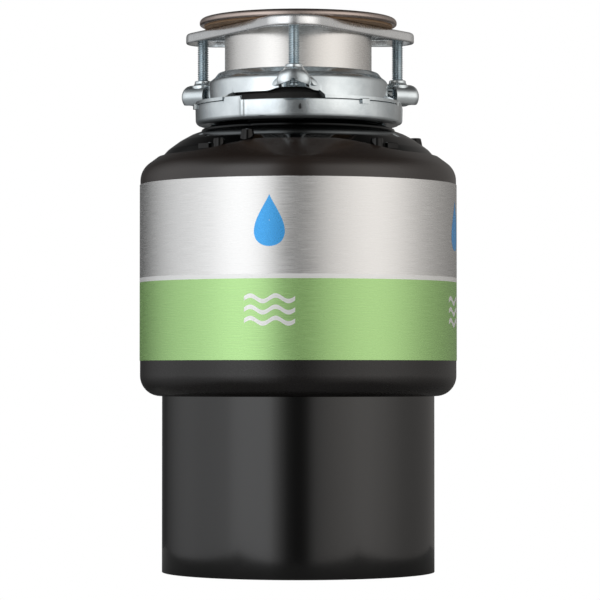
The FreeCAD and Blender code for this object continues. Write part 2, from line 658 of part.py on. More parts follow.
def container_body():
    flange_top = "disc_low + flange_height"
    body = turned_part("container_body", [
        ("chamber_bore", "disc_low"), ("flange_r", "disc_low"), ("flange_r", flange_top),
        ("chamber_r", flange_top), ("chamber_r", dome_z("chamber_r", "-0.1"), "3"),
        ("dome_r", dome_z("dome_r", "-1.7"), "dome_round"), ("neck_r", "neck_low", "0.8"),
        ("neck_r", "neck_high"), ("neck_bore", "neck_high"), ("neck_bore", "neck_low - 2.5", "2"),
        ("dome_r - 1.5", dome_z("dome_r - 1.5", "-5.2"), "dome_round"),
        ("chamber_bore", dome_z("chamber_bore", "-4"), "6")])
    tab = pad(body, sector(new_sketch(body, "XY_Plane", "tab_low"), "neck_r - 1", "tab_r",
                           "tab_first", "tab_last"), "tab_height")
    polar(body, [tab], 3)
    hole = drill(body, [("flange_screw_ring", "0", "small_screw_r")], "disc_low - 1",
                 "flange_height + 0.7", backwards=True)
    polar(body, [hole], 6)
    nozzle = circles(new_sketch(body, "XZ_Plane", "3 - inlet_near", "inlet_turn"),
                     [("0", "inlet_z", "inlet_root_r")])
    pocket(body, nozzle, "30")


def inlet_run(body, start, end, radii):
    """A stretch of the inlet, from start to end along its own direction."""
    rounds = [("0", "inlet_z", radius) for radius in radii]
    sketch = circles(new_sketch(body, "XZ_Plane", f"-({start})", "inlet_turn"), rounds)
    pad(body, sketch, f"{end} - ({start})", backwards=True)


def dishwasher_inlet():
    tube = new_part("dishwasher_inlet")
    inlet_run(tube, "inlet_near", "inlet_step", ["inlet_root_r", "inlet_bore"])
    inlet_run(tube, "inlet_step", "inlet_end", ["inlet_r", "inlet_bore"])
    plug = new_part("inlet_plug")
    inlet_run(plug, "inlet_near + 1", "inlet_near + 1 + plug_thick", ["inlet_bore"])


def shredder_ring():
    body = ring_part("shredder_ring", "shred_bore", "chamber_bore", "disc_low + 1", "shred_high")
    notch = new_sketch(body, "XZ_Plane", "shred_bore - 5")
    box_outline(notch, "-notch_half", "notch_half", "disc_low", "disc_low + notch_high")
    polar(body, [pocket(body, notch, "10", backwards=True)], 24)


def turntable():
    """The grinding disc. Its hub is a part of its own below it."""
    body = ring_part("turntable", "shaft_top_r", "plate_r", "disc_low", "disc_high")
    hole = drill(body, [("0", "drain_hole_ring", "drain_hole_r")], "disc_low - 1", "6",
                 backwards=True)
    polar(body, [hole], 8)
    drill(body, rounds_at(PIVOT_SPOTS, "pin_r"), "disc_low - 1", "6", backwards=True)


def turntable_nut():
    body = new_part("turntable_nut")
    pad(body, hexagon(new_sketch(body, "XY_Plane", "disc_high"), "nut_flats"), "nut_high")
    drill(body, [("0", "0", "shaft_top_r")], "disc_high - 1", "nut_high + 2", backwards=True)


def impeller_pins():
    body = new_part("impeller_pins")
    body.AllowCompound = True
    head_low = "impeller_high + pin_play"
    post(body, rounds_at(PIVOT_SPOTS, "pin_r"), "disc_low", f"{head_low} - disc_low")
    post(body, rounds_at(PIVOT_SPOTS, "pin_head_r"), head_low, "pin_head")
    post(body, rounds_at(PIVOT_SPOTS, "pin_head_r"), "disc_low - pin_head", "pin_head")


def impeller(number, angle):
    """A swinging arm on the turntable, with a hammer that stands up at its tip."""
    body = new_part(f"impeller_{number}")
    arm = new_sketch(body, "XY_Plane", "impeller_low")
    outline(arm, [("pivot_r - arm_tail", "-arm_tail", "6"), ("pivot_r + arm_reach", "-arm_half", "5"),
                  ("pivot_r + arm_reach", "arm_half", "5"), ("pivot_r - arm_tail", "arm_tail", "6")])
    pad(body, arm, "impeller_high - impeller_low")
    hammer = new_sketch(body, "XY_Plane", "impeller_high - 1")
    outline(hammer, [("pivot_r + hammer_near", "-hammer_half", "2"),
                     ("pivot_r + hammer_far", "0.5 - hammer_half", "3"),
                     ("pivot_r + hammer_far", "hammer_half - 0.5", "3"),
                     ("pivot_r + hammer_near", "hammer_half", "2")])
    pad(body, hammer, "impeller_top - impeller_high + 1")
    drill(body, [("pivot_r", "0", "pin_r + pin_gap")], "impeller_low - 1", "20", backwards=True)
    turn_part(body, angle)


# Casing

def outlet_window(body):
    """The opening at the back of a sleeve for the outlet flange."""
    window = new_sketch(body, "XZ_Plane", "-60")
    outline(window, [(f"{side} * (lug_x + lug_r + window_rim)",
                      f"outlet_z + {level} * (boss_half + window_rim + 1.75)", "window_round")
                     for side, level in ((-1, -1), (1, -1), (1, 1), (-1, 1))])
    pocket(body, window, "40")


def lower_casing():
    inner_r = "casing_r - casing_wall"
    body = turned_part("lower_casing", [
        ("shell_r + casing_gap", "casing_low"), ("casing_r", "casing_low", "casing_round"),
        ("casing_r", "seam_z"), (inner_r, "seam_z"),
        (inner_r, "casing_low + casing_wall", "casing_round - casing_wall"),
        ("shell_r + casing_gap", "casing_low + casing_wall")])
    outlet_window(body)


def upper_casing():
    inner_r = "casing_r - casing_wall"
    body = turned_part("upper_casing", [
        (inner_r, "seam_z"), ("casing_r", "seam_z"), ("casing_r", "shoulder_z", "shoulder_round"),
        ("tongue_r", "shoulder_z + (casing_r - tongue_r) * slope"),
        ("tongue_r", dome_z("tongue_r", "0")),
        (inner_r, dome_z(inner_r, "0"), "shoulder_round - casing_wall")])
    for middle in (0, 180):
        scallop = new_sketch(body, "XY_Plane", "neck_high")
        sector(scallop, "tongue_r - 8", "scallop_r", f"{middle} - scallop_half",
               f"{middle} + scallop_half")
        pocket(body, scallop, "neck_high - shoulder_z")
    nozzle = circles(new_sketch(body, "XZ_Plane", "3 - inlet_near", "inlet_turn"),
                     [("0", "inlet_z", "inlet_root_r + inlet_rim")])
    pocket(body, nozzle, "40")


def sound_insulation():
    outer = "casing_r - casing_wall - 0.1"
    body = ring_part("sound_insulation", f"{outer} - foam_thick", outer, "foam_low", "foam_high")
    outlet_window(body)


def wrap_label():
    body = ring_part("wrap_label", "casing_r", "casing_r + label_thick", "label_low", "label_high")
    outlet_window(body)


# Sink mount

def sink_flange():
    turned_part("sink_flange", [
        ("sleeve_bore", "sleeve_low"), ("sleeve_r", "sleeve_low"), ("sleeve_r", "groove_low"),
        ("groove_r", "groove_low"), ("groove_r", "groove_high"), ("sleeve_r", "groove_high"),
        ("sleeve_r", "sink_z"), ("sink_r", "sink_z", "1.2"), ("sink_r", "sink_top", "2.4"),
        ("sleeve_r + sink_dish", "sink_top", "3"), ("seat_bore", "sink_z + 0.5", "2"),
        ("seat_bore", "seat_low"), ("sleeve_bore", "seat_low")])


def snap_ring():
    body = ring_part("snap_ring", "groove_r", "snap_r", "groove_low", "groove_high")
    gap = new_sketch(body, "XY_Plane", "groove_low - 1")
    box_outline(gap, "-snap_gap", "snap_gap", "groove_r - 4", "snap_r + 4")
    pocket(body, gap, "groove_high - groove_low + 2", backwards=True)


def mounting_gasket():
    turned_part("mounting_gasket", [
        ("gasket_bore", "neck_high - gasket_lip"), ("neck_bore", "neck_high - gasket_lip"),
        ("neck_bore", "neck_high"), ("neck_r", "neck_high"), ("neck_r", "neck_high + gasket_foot"),
        ("gasket_tip_r", "neck_high + gasket_tip"), ("sleeve_r", "neck_high + gasket_tip"),
        ("sleeve_r", "sleeve_low"), ("gasket_bore", "sleeve_low")])


def splash_baffle():
    """The rubber splash guard: a collar inside the sleeve and a floor slit into petals."""
    outer = "sleeve_bore - baffle_gap"
    inner = f"{outer} - baffle_sheet"
    floor = "baffle_low + baffle_sheet"
    body = turned_part("splash_baffle", [
        ("baffle_hole_r", "baffle_low"), (outer, "baffle_low"), (outer, "baffle_high"),
        (inner, "baffle_high"), (inner, floor), ("baffle_hole_r", floor)])
    slit = new_sketch(body, "XY_Plane", "baffle_low - 1")
    box_outline(slit, "slit_near", "slit_far", "-slit_half", "slit_half")
    polar(body, [pocket(body, slit, "baffle_sheet + 2", backwards=True)], 8)


def upper_mounting_ring():
    """A cup with a flange at its foot, three rolled ears for the screws and a window by each."""
    body = turned_part("upper_mounting_ring", [
        ("hood_bore", "hood_low"), ("hood_foot_r - 0.3", "hood_low"),
        ("cup_r - cup_wall", "cup_high - cup_wall"), ("cup_r - cup_wall", "skirt_low"),
        ("band_r", "skirt_low"), ("band_r", "skirt_low + cup_wall"), ("cup_r", "skirt_low + cup_wall"),
        ("cup_r", "cup_high", "cup_round"), ("hood_foot_r", "hood_high", "1"),
        ("hood_bore", "hood_high")])
    hood = outline(new_sketch(body, "YZ_Plane"), [
        ("-ear_far", "ear_z"), ("-ear_near", "ear_z"), ("-ear_near", "ear_z + ear_r"),
        ("-ear_far", "ear_z + ear_r", "ear_end")])
    ear = revolve(body, "Revolution", hood, "Edge1")
    collar_low = "ear_z + ear_bore + 1"
    collar = post(body, [("0", "-screw_ring", "collar_r")], collar_low,
                  f"collar_high - ({collar_low})")
    near, far = "-cup_r - 1", "ear_wall - ear_far"
    tunnel = outline(new_sketch(body, "YZ_Plane"), [
        (far, "ear_z"), (near, "ear_z"), (near, "ear_z + ear_bore"),
        (far, "ear_z + ear_bore", "ear_end - 2.5")])
    hollow = revolve(body, "Groove", tunnel, "Edge1")
    mouth = new_sketch(body, "XY_Plane", "ear_z")
    box_outline(mouth, "-ear_bore", "ear_bore", f"{far} + 1", "ear_end - screw_ring")
    under = pocket(body, mouth, "ear_r + 2")
    hole = drill(body, [("0", "-screw_ring", "screw_r + screw_gap")], "ear_z", "collar_high",
                 backwards=True)
    polar(body, [ear, collar, hollow, under, hole], 3)
    window = sector(new_sketch(body, "XY_Plane", "skirt_low - 1"), "cup_r - cup_wall - 2",
                    "band_r + 1", "-90 - window_left", "-90 + window_right")
    opening = pocket(body, window, "window_high - skirt_low + 1", backwards=True)
    polar(body, [opening], 3)
    turn_part(body, "mount_turn")


def lower_mounting_ring():
    """The band that turns under the cup and locks on the tabs of the chamber's neck."""
    body = turned_part("lower_mounting_ring", [
        ("catch_r", "band_low"), ("band_r", "band_low", "1.6"), ("band_r", "band_high"),
        ("band_r - band_wall", "band_high"), ("band_r - band_wall", "band_low + band_floor", "0.8"),
        ("catch_r", "band_low + band_floor")])
    gap = sector(new_sketch(body, "XY_Plane", "band_low - 1"), "catch_r - 2",
                 "band_r - band_wall - 0.4", "catch_first", "catch_last")
    cut = pocket(body, gap, "band_floor + 2", backwards=True)
    stop = pad(body, sector(new_sketch(body, "XY_Plane", "band_high - 1"), "band_r - band_wall",
                            "band_r", "-90 - stop_first", "-90 - stop_last"),
               "stop_high - band_high + 1")
    polar(body, [cut, stop], 3)
    turn_part(body, "mount_turn")


def clamp_outline(sketch, inset):
    """The clamping plate's shape: a triangle with wide round corners."""
    reach = f"clamp_centre + 2 * clamp_corner - 2 * {inset}"
    return outline(sketch, three_corners(reach, f"clamp_corner - {inset}"))


def backup_flange():
    body = new_part("backup_flange")
    pad(body, clamp_outline(new_sketch(body, "XY_Plane", "clamp_low"), "0"), "clamp_high - clamp_low")
    pocket(body, clamp_outline(new_sketch(body, "XY_Plane", "clamp_low"), "clamp_wall"),
           "clamp_high - clamp_low - clamp_wall", backwards=True)
    drill(body, [("0", "0", "clamp_bore")], "clamp_low", "10", backwards=True)
    turn_part(body, "mount_turn")


def mounting_screw(number):
    body = new_part(f"mounting_screw_{number}")
    post(body, [("0", "-screw_ring", "screw_r")], "screw_low",
         "clamp_high - clamp_wall - screw_low")
    slot = new_sketch(body, "XY_Plane", "screw_low")
    box_outline(slot, "-slot_x", "slot_x", "-screw_ring - slot_half", "slot_half - screw_ring")
    pocket(body, slot, "slot_deep", backwards=True)
    turn_part(body, f"mount_turn + {120 * (number - 1)}")


trim_shell()
lower_end_frame()
through_bolts()
terminal_cover()
small_screw("cover_screw", COVER_SCREW, "plate_low - hatch_sheet - small_head", "plate_high + 3")
small_screw("ground_screw", GROUND_SCREW, "plate_low - small_head", "plate_high + 4")
overload_protector()
reset_button()
reset_spring()
start_switch()
stator_core()
stator_windings()
rotor_core()
rotor_end_rings()
shaft()
bearings()
switch_actuator()
upper_end_frame()
ring_part("bearing_hub", "seat_r", "drain_hub_r", "drain_floor", "drain_hub_high")
drain_chamber()
outlet_boss()
chamber_gasket()
chamber_screws()
discharge_gasket()
discharge_tube()
discharge_flange()
discharge_screws()
container_body()
dishwasher_inlet()
shredder_ring()
turntable()
ring_part("turntable_hub", "shaft_top_r", "disc_hub_r", "shaft_step", "disc_low")
turntable_nut()
impeller_pins()
impeller(1, "0")
impeller(2, "180")
lower_casing()
upper_casing()
sound_insulation()
wrap_label()
sink_flange()
snap_ring()
mounting_gasket()
splash_baffle()
upper_mounting_ring()
lower_mounting_ring()
backup_flange()
ring_part("fiber_gasket", "clamp_bore", "clamp_bore + washer_wide", "clamp_high", "sink_z")
for number in (1, 2, 3):
    mounting_screw(number)

doc.recompute()
for item in doc.Objects:
    if {"Invalid", "Error"} & set(item.State):
        raise RuntimeError(f"{item.Label} failed: {item.State}")
for body in parts:
    if body.Shape.isNull() or not body.Shape.isValid() or not body.Shape.Solids:
        raise RuntimeError(f"{body.Label} has no valid solid")
os.makedirs("parts", exist_ok=True)
for body in parts:
    body.Shape.exportStep(f"parts/{body.Label}.step")
    print(f"{body.Label}: {len(body.Shape.Solids)} solids, {body.Shape.Volume / 1000:.2f} cm3")
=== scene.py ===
import json
import math
import bmesh
import bpy
from mathutils import Matrix, Vector


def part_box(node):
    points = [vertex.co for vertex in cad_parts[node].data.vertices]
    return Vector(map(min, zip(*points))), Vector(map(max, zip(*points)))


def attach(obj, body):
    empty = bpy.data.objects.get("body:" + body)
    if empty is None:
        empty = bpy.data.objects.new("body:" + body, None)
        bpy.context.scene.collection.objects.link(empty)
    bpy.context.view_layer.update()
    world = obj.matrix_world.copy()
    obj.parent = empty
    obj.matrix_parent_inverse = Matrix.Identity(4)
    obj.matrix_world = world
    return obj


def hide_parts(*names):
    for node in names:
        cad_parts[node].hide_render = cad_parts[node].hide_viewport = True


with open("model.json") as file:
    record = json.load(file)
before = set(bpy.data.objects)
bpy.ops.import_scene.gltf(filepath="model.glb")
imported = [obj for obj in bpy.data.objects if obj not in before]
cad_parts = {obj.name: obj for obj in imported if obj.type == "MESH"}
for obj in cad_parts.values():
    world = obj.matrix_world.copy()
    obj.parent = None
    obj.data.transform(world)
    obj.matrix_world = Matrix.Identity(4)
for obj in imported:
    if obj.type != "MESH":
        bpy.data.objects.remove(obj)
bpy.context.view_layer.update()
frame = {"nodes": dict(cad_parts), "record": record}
NODES = frame["nodes"]
MM = 0.001
TURN = 2 * math.pi


def high(node):
    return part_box(node)[1]


def low(node):
    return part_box(node)[0]


# ---------------------------------------------------------------- mesh helpers

def add_piece(name, mesh, body, material, replaces=(), sharp=32):
    """Link a mesh as a smooth-shaded piece that rides on a CAD body."""
    piece = bpy.data.objects.new(name, mesh)
    bpy.context.scene.collection.objects.link(piece)
    mesh.polygons.foreach_set("use_smooth", [True] * len(mesh.polygons))
    mesh.set_sharp_from_angle(angle=math.radians(sharp))
    mesh.materials.append(material)
    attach(piece, body)
    if replaces:
        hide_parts(*replaces)
    return piece


def to_mesh(name, built):
    """A bmesh as a mesh whose faces point outwards."""
    bmesh.ops.recalc_face_normals(built, faces=built.faces[:])
    mesh = bpy.data.meshes.new(name)
    built.to_mesh(mesh)
    built.free()
    return mesh


def rounded(corners, steps=6, closed=True):
    """A polyline through corners (across, up) or (across, up, radius), with round corners as arcs."""
    points = []
    count = len(corners)
    for index, corner in enumerate(corners):
        here = Vector(corner[:2])
        is_end = not closed and index in (0, count - 1)
        if len(corner) == 2 or is_end:
            points.append(here)
            continue
        back = (Vector(corners[index - 1][:2]) - here).normalized()
        ahead = (Vector(corners[(index + 1) % count][:2]) - here).normalized()
        half = back.angle(ahead) / 2
        centre = here + (back + ahead).normalized() * (corner[2] / math.sin(half))
        start = here + back * (corner[2] / math.tan(half)) - centre
        end = here + ahead * (corner[2] / math.tan(half)) - centre
        sweep = start.angle_signed(end)
        for step in range(steps + 1):
            points.append(centre + Matrix.Rotation(-sweep * step / steps, 2) @ start)
    return points


def spun(name, profile_at, angles):
    """A ring whose closed section (radius, height) may change with the angle, in degrees.

    Angle 0 is the front (-Y) and positive angles go to the viewer's right.
    """
    built = bmesh.new()
    rings = []
    for angle in angles:
        turn = math.radians(angle)
        outward = (math.sin(turn), -math.cos(turn))
        rings.append([built.verts.new((outward[0] * radius, outward[1] * radius, height))
                      for radius, height in profile_at(angle)])
    size = len(rings[0])
    for index, ring in enumerate(rings):
        following = rings[(index + 1) % len(rings)]
        for place in range(size):
            other = (place + 1) % size
            built.faces.new((ring[place], following[place], following[other], ring[other]))
    return to_mesh(name, built)


def even_angles(count):
    return [360 * step / count for step in range(count)]


def stack(name, rings):
    """Join equal-sized loops of points into a skin, with both ends capped."""
    built = bmesh.new()
    loops = [[built.verts.new(point) for point in ring] for ring in rings]
    size = len(loops[0])
    for lower, upper in zip(loops, loops[1:]):
        for place in range(size):
            other = (place + 1) % size
            built.faces.new((lower[place], lower[other], upper[other], upper[place]))
    built.faces.new(loops[0][::-1])
    built.faces.new(loops[-1])
    return to_mesh(name, built)


def polar_point(radius, angle, height):
    turn = math.radians(angle)
    return Vector((radius * math.sin(turn), -radius * math.cos(turn), height))


def smooth_step(low, high, place):
    share = min(max((place - low) / (high - low), 0), 1)
    return share * share * (3 - 2 * share)


# ---------------------------------------------------------------- materials

def new_material(name):
    """A node material, with its nodes and links."""
    material = bpy.data.materials.new(name)
    material.use_nodes = True
    return material, material.node_tree.nodes, material.node_tree.links


def noise(nodes, links, scale, detail, vector=None):
    """Noise in cycles per metre of object space, or of the given vector."""
    if vector is None:
        vector = nodes.new("ShaderNodeTexCoord").outputs["Object"]
    mapping = nodes.new("ShaderNodeMapping")
    mapping.inputs["Scale"].default_value = (scale, scale, scale)
    links.new(vector, mapping.inputs["Vector"])
    texture = nodes.new("ShaderNodeTexNoise")
    texture.inputs["Scale"].default_value = 1
    texture.inputs["Detail"].default_value = detail
    links.new(mapping.outputs["Vector"], texture.inputs["Vector"])
    return texture.outputs["Fac"]


NOISE_LOW, NOISE_HIGH = 0.3, 0.7


def span(nodes, links, value, low, high):
    """Spread a 0-1 noise value over low to high."""
    spread = nodes.new("ShaderNodeMapRange")
    spread.inputs["From Min"].default_value = NOISE_LOW
    spread.inputs["From Max"].default_value = NOISE_HIGH
    spread.inputs["To Min"].default_value = low
    spread.inputs["To Max"].default_value = high
    links.new(value, spread.inputs["Value"])
    return spread.outputs["Result"]


def two_tone(nodes, links, value, dark, light):
    """Blend from dark to light over the middle of a 0-1 noise value."""
    ramp = nodes.new("ShaderNodeValToRGB")
    ramp.color_ramp.elements[0].position = NOISE_LOW
    ramp.color_ramp.elements[1].position = NOISE_HIGH
    ramp.color_ramp.elements[0].color = (*dark, 1)
    ramp.color_ramp.elements[1].color = (*light, 1)
    links.new(value, ramp.inputs["Fac"])
    return ramp.outputs["Color"]


def add_bump(nodes, links, shader, value, depth):
    bump = nodes.new("ShaderNodeBump")
    bump.inputs["Distance"].default_value = depth
    bump.inputs["Strength"].default_value = 1
    links.new(value, bump.inputs["Height"])
    links.new(bump.outputs["Normal"], shader.inputs["Normal"])


def plain_surface(name, dark, light, rough, metal=0.0, grain=400, depth=0.00002, specular=0.5,
                  patch=18):
    """A moulded, painted or plated surface: uneven tone, uneven gloss and a fine grain."""
    material, nodes, links = new_material(name)
    shader = nodes["Principled BSDF"]
    shader.inputs["Metallic"].default_value = metal
    shader.inputs["Specular IOR Level"].default_value = specular
    patches = noise(nodes, links, patch, 5)
    links.new(two_tone(nodes, links, patches, dark, light), shader.inputs["Base Color"])
    fine = noise(nodes, links, grain, 3)
    links.new(span(nodes, links, fine, rough[0], rough[1]), shader.inputs["Roughness"])
    add_bump(nodes, links, shader, fine, depth)
    return material


def azimuth_of(nodes, links, split):
    """The azimuth of a split vector in radians, 0 at the front and positive to the viewer's right."""
    flip = nodes.new("ShaderNodeMath")
    flip.operation = "MULTIPLY"
    flip.inputs[1].default_value = -1
    links.new(split.outputs["Y"], flip.inputs[0])
    angle = nodes.new("ShaderNodeMath")
    angle.operation = "ARCTAN2"
    links.new(split.outputs["X"], angle.inputs[0])
    links.new(flip.outputs["Value"], angle.inputs[1])
    return angle.outputs["Value"]


def around_coordinates(nodes, links, around, along):
    """Object space unrolled round the motor axis: (angle * around, height * along), cut at the back."""
    split = nodes.new("ShaderNodeSeparateXYZ")
    links.new(nodes.new("ShaderNodeTexCoord").outputs["Object"], split.inputs["Vector"])
    join = nodes.new("ShaderNodeCombineXYZ")
    for source, factor, socket in ((azimuth_of(nodes, links, split), around, "X"),
                                   (split.outputs["Z"], along, "Y")):
        scale = nodes.new("ShaderNodeMath")
        scale.operation = "MULTIPLY"
        scale.inputs[1].default_value = factor
        links.new(source, scale.inputs[0])
        links.new(scale.outputs["Value"], join.inputs[socket])
    return join.outputs["Vector"], split.outputs["Z"]


def brushed(name, dark, light, rough, across=9000, around=6, depth=0.000004, bands=None, metal=1.0,
            index=1.5):
    """Metal brushed round the motor axis. bands are (height, dark, light) changes going up."""
    material, nodes, links = new_material(name)
    shader = nodes["Principled BSDF"]
    shader.inputs["Metallic"].default_value = metal
    shader.inputs["IOR"].default_value = index
    shader.inputs["Anisotropic"].default_value = 0.75
    tangent = nodes.new("ShaderNodeTangent")
    tangent.direction_type = "RADIAL"
    tangent.axis = "Z"
    links.new(tangent.outputs["Tangent"], shader.inputs["Tangent"])
    vector, height = around_coordinates(nodes, links, around, across)
    lines = noise(nodes, links, 1, 6, vector=vector)
    colour = two_tone(nodes, links, lines, dark, light)
    for level, low_tone, high_tone in bands or ():
        above = nodes.new("ShaderNodeMath")
        above.operation = "GREATER_THAN"
        above.inputs[1].default_value = level
        links.new(height, above.inputs[0])
        mix = nodes.new("ShaderNodeMix")
        mix.data_type = "RGBA"
        links.new(above.outputs["Value"], mix.inputs["Factor"])
        links.new(colour, mix.inputs["A"])
        links.new(two_tone(nodes, links, lines, low_tone, high_tone), mix.inputs["B"])
        colour = mix.outputs["Result"]
    links.new(colour, shader.inputs["Base Color"])
    links.new(span(nodes, links, lines, rough[0], rough[1]), shader.inputs["Roughness"])
    add_bump(nodes, links, shader, lines, depth)
    return material


LABEL_LOW, LABEL_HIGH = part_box("wrap_label")
BAND_SHARE = 0.444
STRIPE_SHARE = 0.4695
LABEL_TALL = LABEL_HIGH.z - LABEL_LOW.z
BAND_END = LABEL_LOW.z + LABEL_TALL * BAND_SHARE
STRIPE_END = LABEL_LOW.z + LABEL_TALL * STRIPE_SHARE

SHELL_PAINT = plain_surface("shell_paint", (0.0010, 0.0010, 0.0010),
                            (0.0018, 0.0018, 0.0017), (0.08, 0.13), grain=1400,
                            depth=0.000002, specular=0.66)
RIM_BLACK = plain_surface("rim_black", (0.0080, 0.0070, 0.0068), (0.0105, 0.0092, 0.009),
                          (0.26, 0.34), grain=1200, depth=0.000003)
COVER_BROWN = plain_surface("cover_brown", (0.022, 0.0160, 0.0132),
                            (0.028, 0.0210, 0.0178), (0.15, 0.22), grain=2200,
                            depth=0.000004, specular=0.62)
CHAMBER_BLACK = plain_surface("chamber_black", (0.0006, 0.0006, 0.0006),
                              (0.0012, 0.0012, 0.0012), (0.03, 0.07), grain=160,
                              depth=0.000004, specular=0.28)
SILVER_FOIL = brushed("silver_foil", (0.62, 0.62, 0.615), (0.76, 0.76, 0.755),
                      (0.18, 0.32))
GREEN_FOIL = brushed("green_foil", (0.27, 0.57, 0.115), (0.37, 0.69, 0.19),
                     (0.20, 0.34), metal=0.6, index=4.0)
# Above this level the stainless top rim is painted darker brown: a painted dark reflection, not the
# steel's own colour.
PAINTED_REFLECTION_LEVEL = low("sink_flange").z + 36.6 * MM
STAINLESS = brushed("stainless", (0.66, 0.65, 0.63), (0.76, 0.75, 0.735), (0.22, 0.34),
                    bands=[(PAINTED_REFLECTION_LEVEL, (0.42, 0.345, 0.31), (0.52, 0.44, 0.40))])
ZINC = plain_surface("zinc", (0.60, 0.66, 0.69), (0.80, 0.86, 0.885), (0.13, 0.24),
                     metal=0.9, grain=110, depth=0.00014, patch=60)
SCREW_ZINC = plain_surface("screw_zinc", (0.42, 0.52, 0.58), (0.60, 0.68, 0.72),
                           (0.16, 0.30), metal=1, grain=500, depth=0.000006, patch=120)
STEEL = plain_surface("steel", (0.46, 0.46, 0.47), (0.6, 0.6, 0.6), (0.22, 0.36),
                      metal=1, grain=700, depth=0.000006)
CAST = plain_surface("cast", (0.42, 0.42, 0.43), (0.56, 0.56, 0.57), (0.40, 0.58),
                     metal=1, grain=600, depth=0.00005)
LAMINATION = brushed("lamination", (0.16, 0.16, 0.165), (0.34, 0.34, 0.345),
                     (0.35, 0.5), across=2500, around=2, depth=0.00004)
COPPER = brushed("copper", (0.42, 0.15, 0.06), (0.72, 0.32, 0.15), (0.25, 0.4),
                 across=1300, around=3, depth=0.00012)
BRONZE = plain_surface("bronze", (0.42, 0.26, 0.12), (0.56, 0.38, 0.2), (0.3, 0.45),
                       metal=1)
RUBBER = plain_surface("rubber", (0.010, 0.010, 0.010), (0.018, 0.018, 0.018),
                       (0.55, 0.72), grain=900, depth=0.00002)
FIBRE = plain_surface("fibre", (0.22, 0.13, 0.07), (0.34, 0.22, 0.13), (0.7, 0.85),
                      grain=1800, depth=0.00004)
FOAM = plain_surface("foam", (0.05, 0.05, 0.055), (0.10, 0.10, 0.11), (0.8, 0.95),
                     grain=1500, depth=0.0002)
PLASTIC = plain_surface("plastic", (0.018, 0.018, 0.019), (0.03, 0.03, 0.031),
                        (0.38, 0.52), grain=1500, depth=0.00002)
OUTLET = plain_surface("outlet", (0.014, 0.014, 0.015), (0.022, 0.022, 0.023),
                       (0.22, 0.32), grain=700, depth=0.00001)
RED = plain_surface("red", (0.45, 0.01, 0.008), (0.58, 0.02, 0.012), (0.25, 0.35),
                    grain=800, depth=0.00001)
GREEN_SCREW = plain_surface("green_screw", (0.01, 0.16, 0.05), (0.02, 0.25, 0.08),
                            (0.25, 0.4), metal=0.6)

BLUE_INK = plain_surface("blue_ink", (0.06, 0.42, 0.96), (0.08, 0.48, 1.0),
                         (0.24, 0.36), metal=0.45, grain=900, depth=0.000001)
WHITE_INK = plain_surface("white_ink", (0.94, 0.95, 0.94), (0.98, 0.98, 0.98),
                          (0.30, 0.42), metal=0.45, grain=900, depth=0.000001)
PLATE_ZINC = plain_surface("plate_zinc", (0.86, 0.88, 0.89), (0.95, 0.96, 0.97),
                           (0.20, 0.30), metal=0.85, grain=240, depth=0.000005, patch=40)

SLOT_MATERIALS = {
    "shell_grey": SHELL_PAINT, "rim_black": RIM_BLACK, "cover_brown": COVER_BROWN,
    "chamber_black": CHAMBER_BLACK, "label": SILVER_FOIL, "zinc": ZINC, "stainless": STAINLESS,
    "screw_zinc": SCREW_ZINC, "steel": STEEL, "cast": CAST, "lamination": LAMINATION,
    "copper": COPPER, "bronze": BRONZE, "rubber": RUBBER, "fibre": FIBRE, "foam": FOAM,
    "plastic": PLASTIC, "outlet": OUTLET, "red": RED, "green_screw": GREEN_SCREW,
}


def dress_cad_nodes():
    """Give every CAD node the material of its slot."""
    slots = {part["node"]: part["material_slot"] for part in frame["record"]["subparts"]}
    for name, node in NODES.items():
        node.data.materials.clear()
        node.data.materials.append(SLOT_MATERIALS[slots[name]])


# ---------------------------------------------------------------- sizes taken from the frame

AXIS_TURN = 2.0
EAR_ANGLES = (-AXIS_TURN, 120 - AXIS_TURN, 240 - AXIS_TURN)


def from_ear(angle):
    """An angle in degrees measured from the nearest ear, -60 to 60."""
    return (angle + AXIS_TURN + 60) % 120 - 60


def angles_with_detail(step, spots):
    """Even steps round the circle, with finer ones near each (angle, half width, fine step)."""
    angles = {round(step * place, 4) for place in range(int(360 / step))}
    for middle, half, fine in spots:
        count = int(2 * half / fine)
        angles |= {round((middle - half + fine * place) % 360, 4) for place in range(count + 1)}
    return sorted(angles)


def sheet(centre, thick):
    """A closed section of even thickness about an open line of (radius, height) points."""
    outer, inner = [], []
    along = Vector((1, 0))
    for index, here in enumerate(centre):
        ahead = centre[min(index + 1, len(centre) - 1)]
        back = centre[max(index - 1, 0)]
        if (ahead - back).length > 1e-7:
            along = (ahead - back).normalized()
        across = Vector((-along.y, along.x)) * thick / 2
        outer.append(here + across)
        inner.append(here - across)
    return outer + inner[::-1]


def scaled(corners):
    return [tuple(part * MM for part in corner) for corner in corners]


def flatten(*meshes):
    """Several meshes as one."""
    built = bmesh.new()
    for mesh in meshes:
        built.from_mesh(mesh)
        bpy.data.meshes.remove(mesh)
    return to_mesh("joined", built)


def moved(mesh, matrix):
    mesh.transform(matrix)
    return mesh


def about_axis(angle):
    return Matrix.Rotation(math.radians(angle), 4, "Z")


def ring_of(radius, count, height, centre):
    return [Vector((centre[0] + radius * math.cos(TURN * place / count),
                    centre[1] + radius * math.sin(TURN * place / count), height))
            for place in range(count)]


def turned_post(name, levels, centre, count=32):
    """A closed turned piece from (radius, height) levels, in millimetres, at centre."""
    return stack(name, [ring_of(radius * MM, count, height * MM, centre)
                        for radius, height in levels])


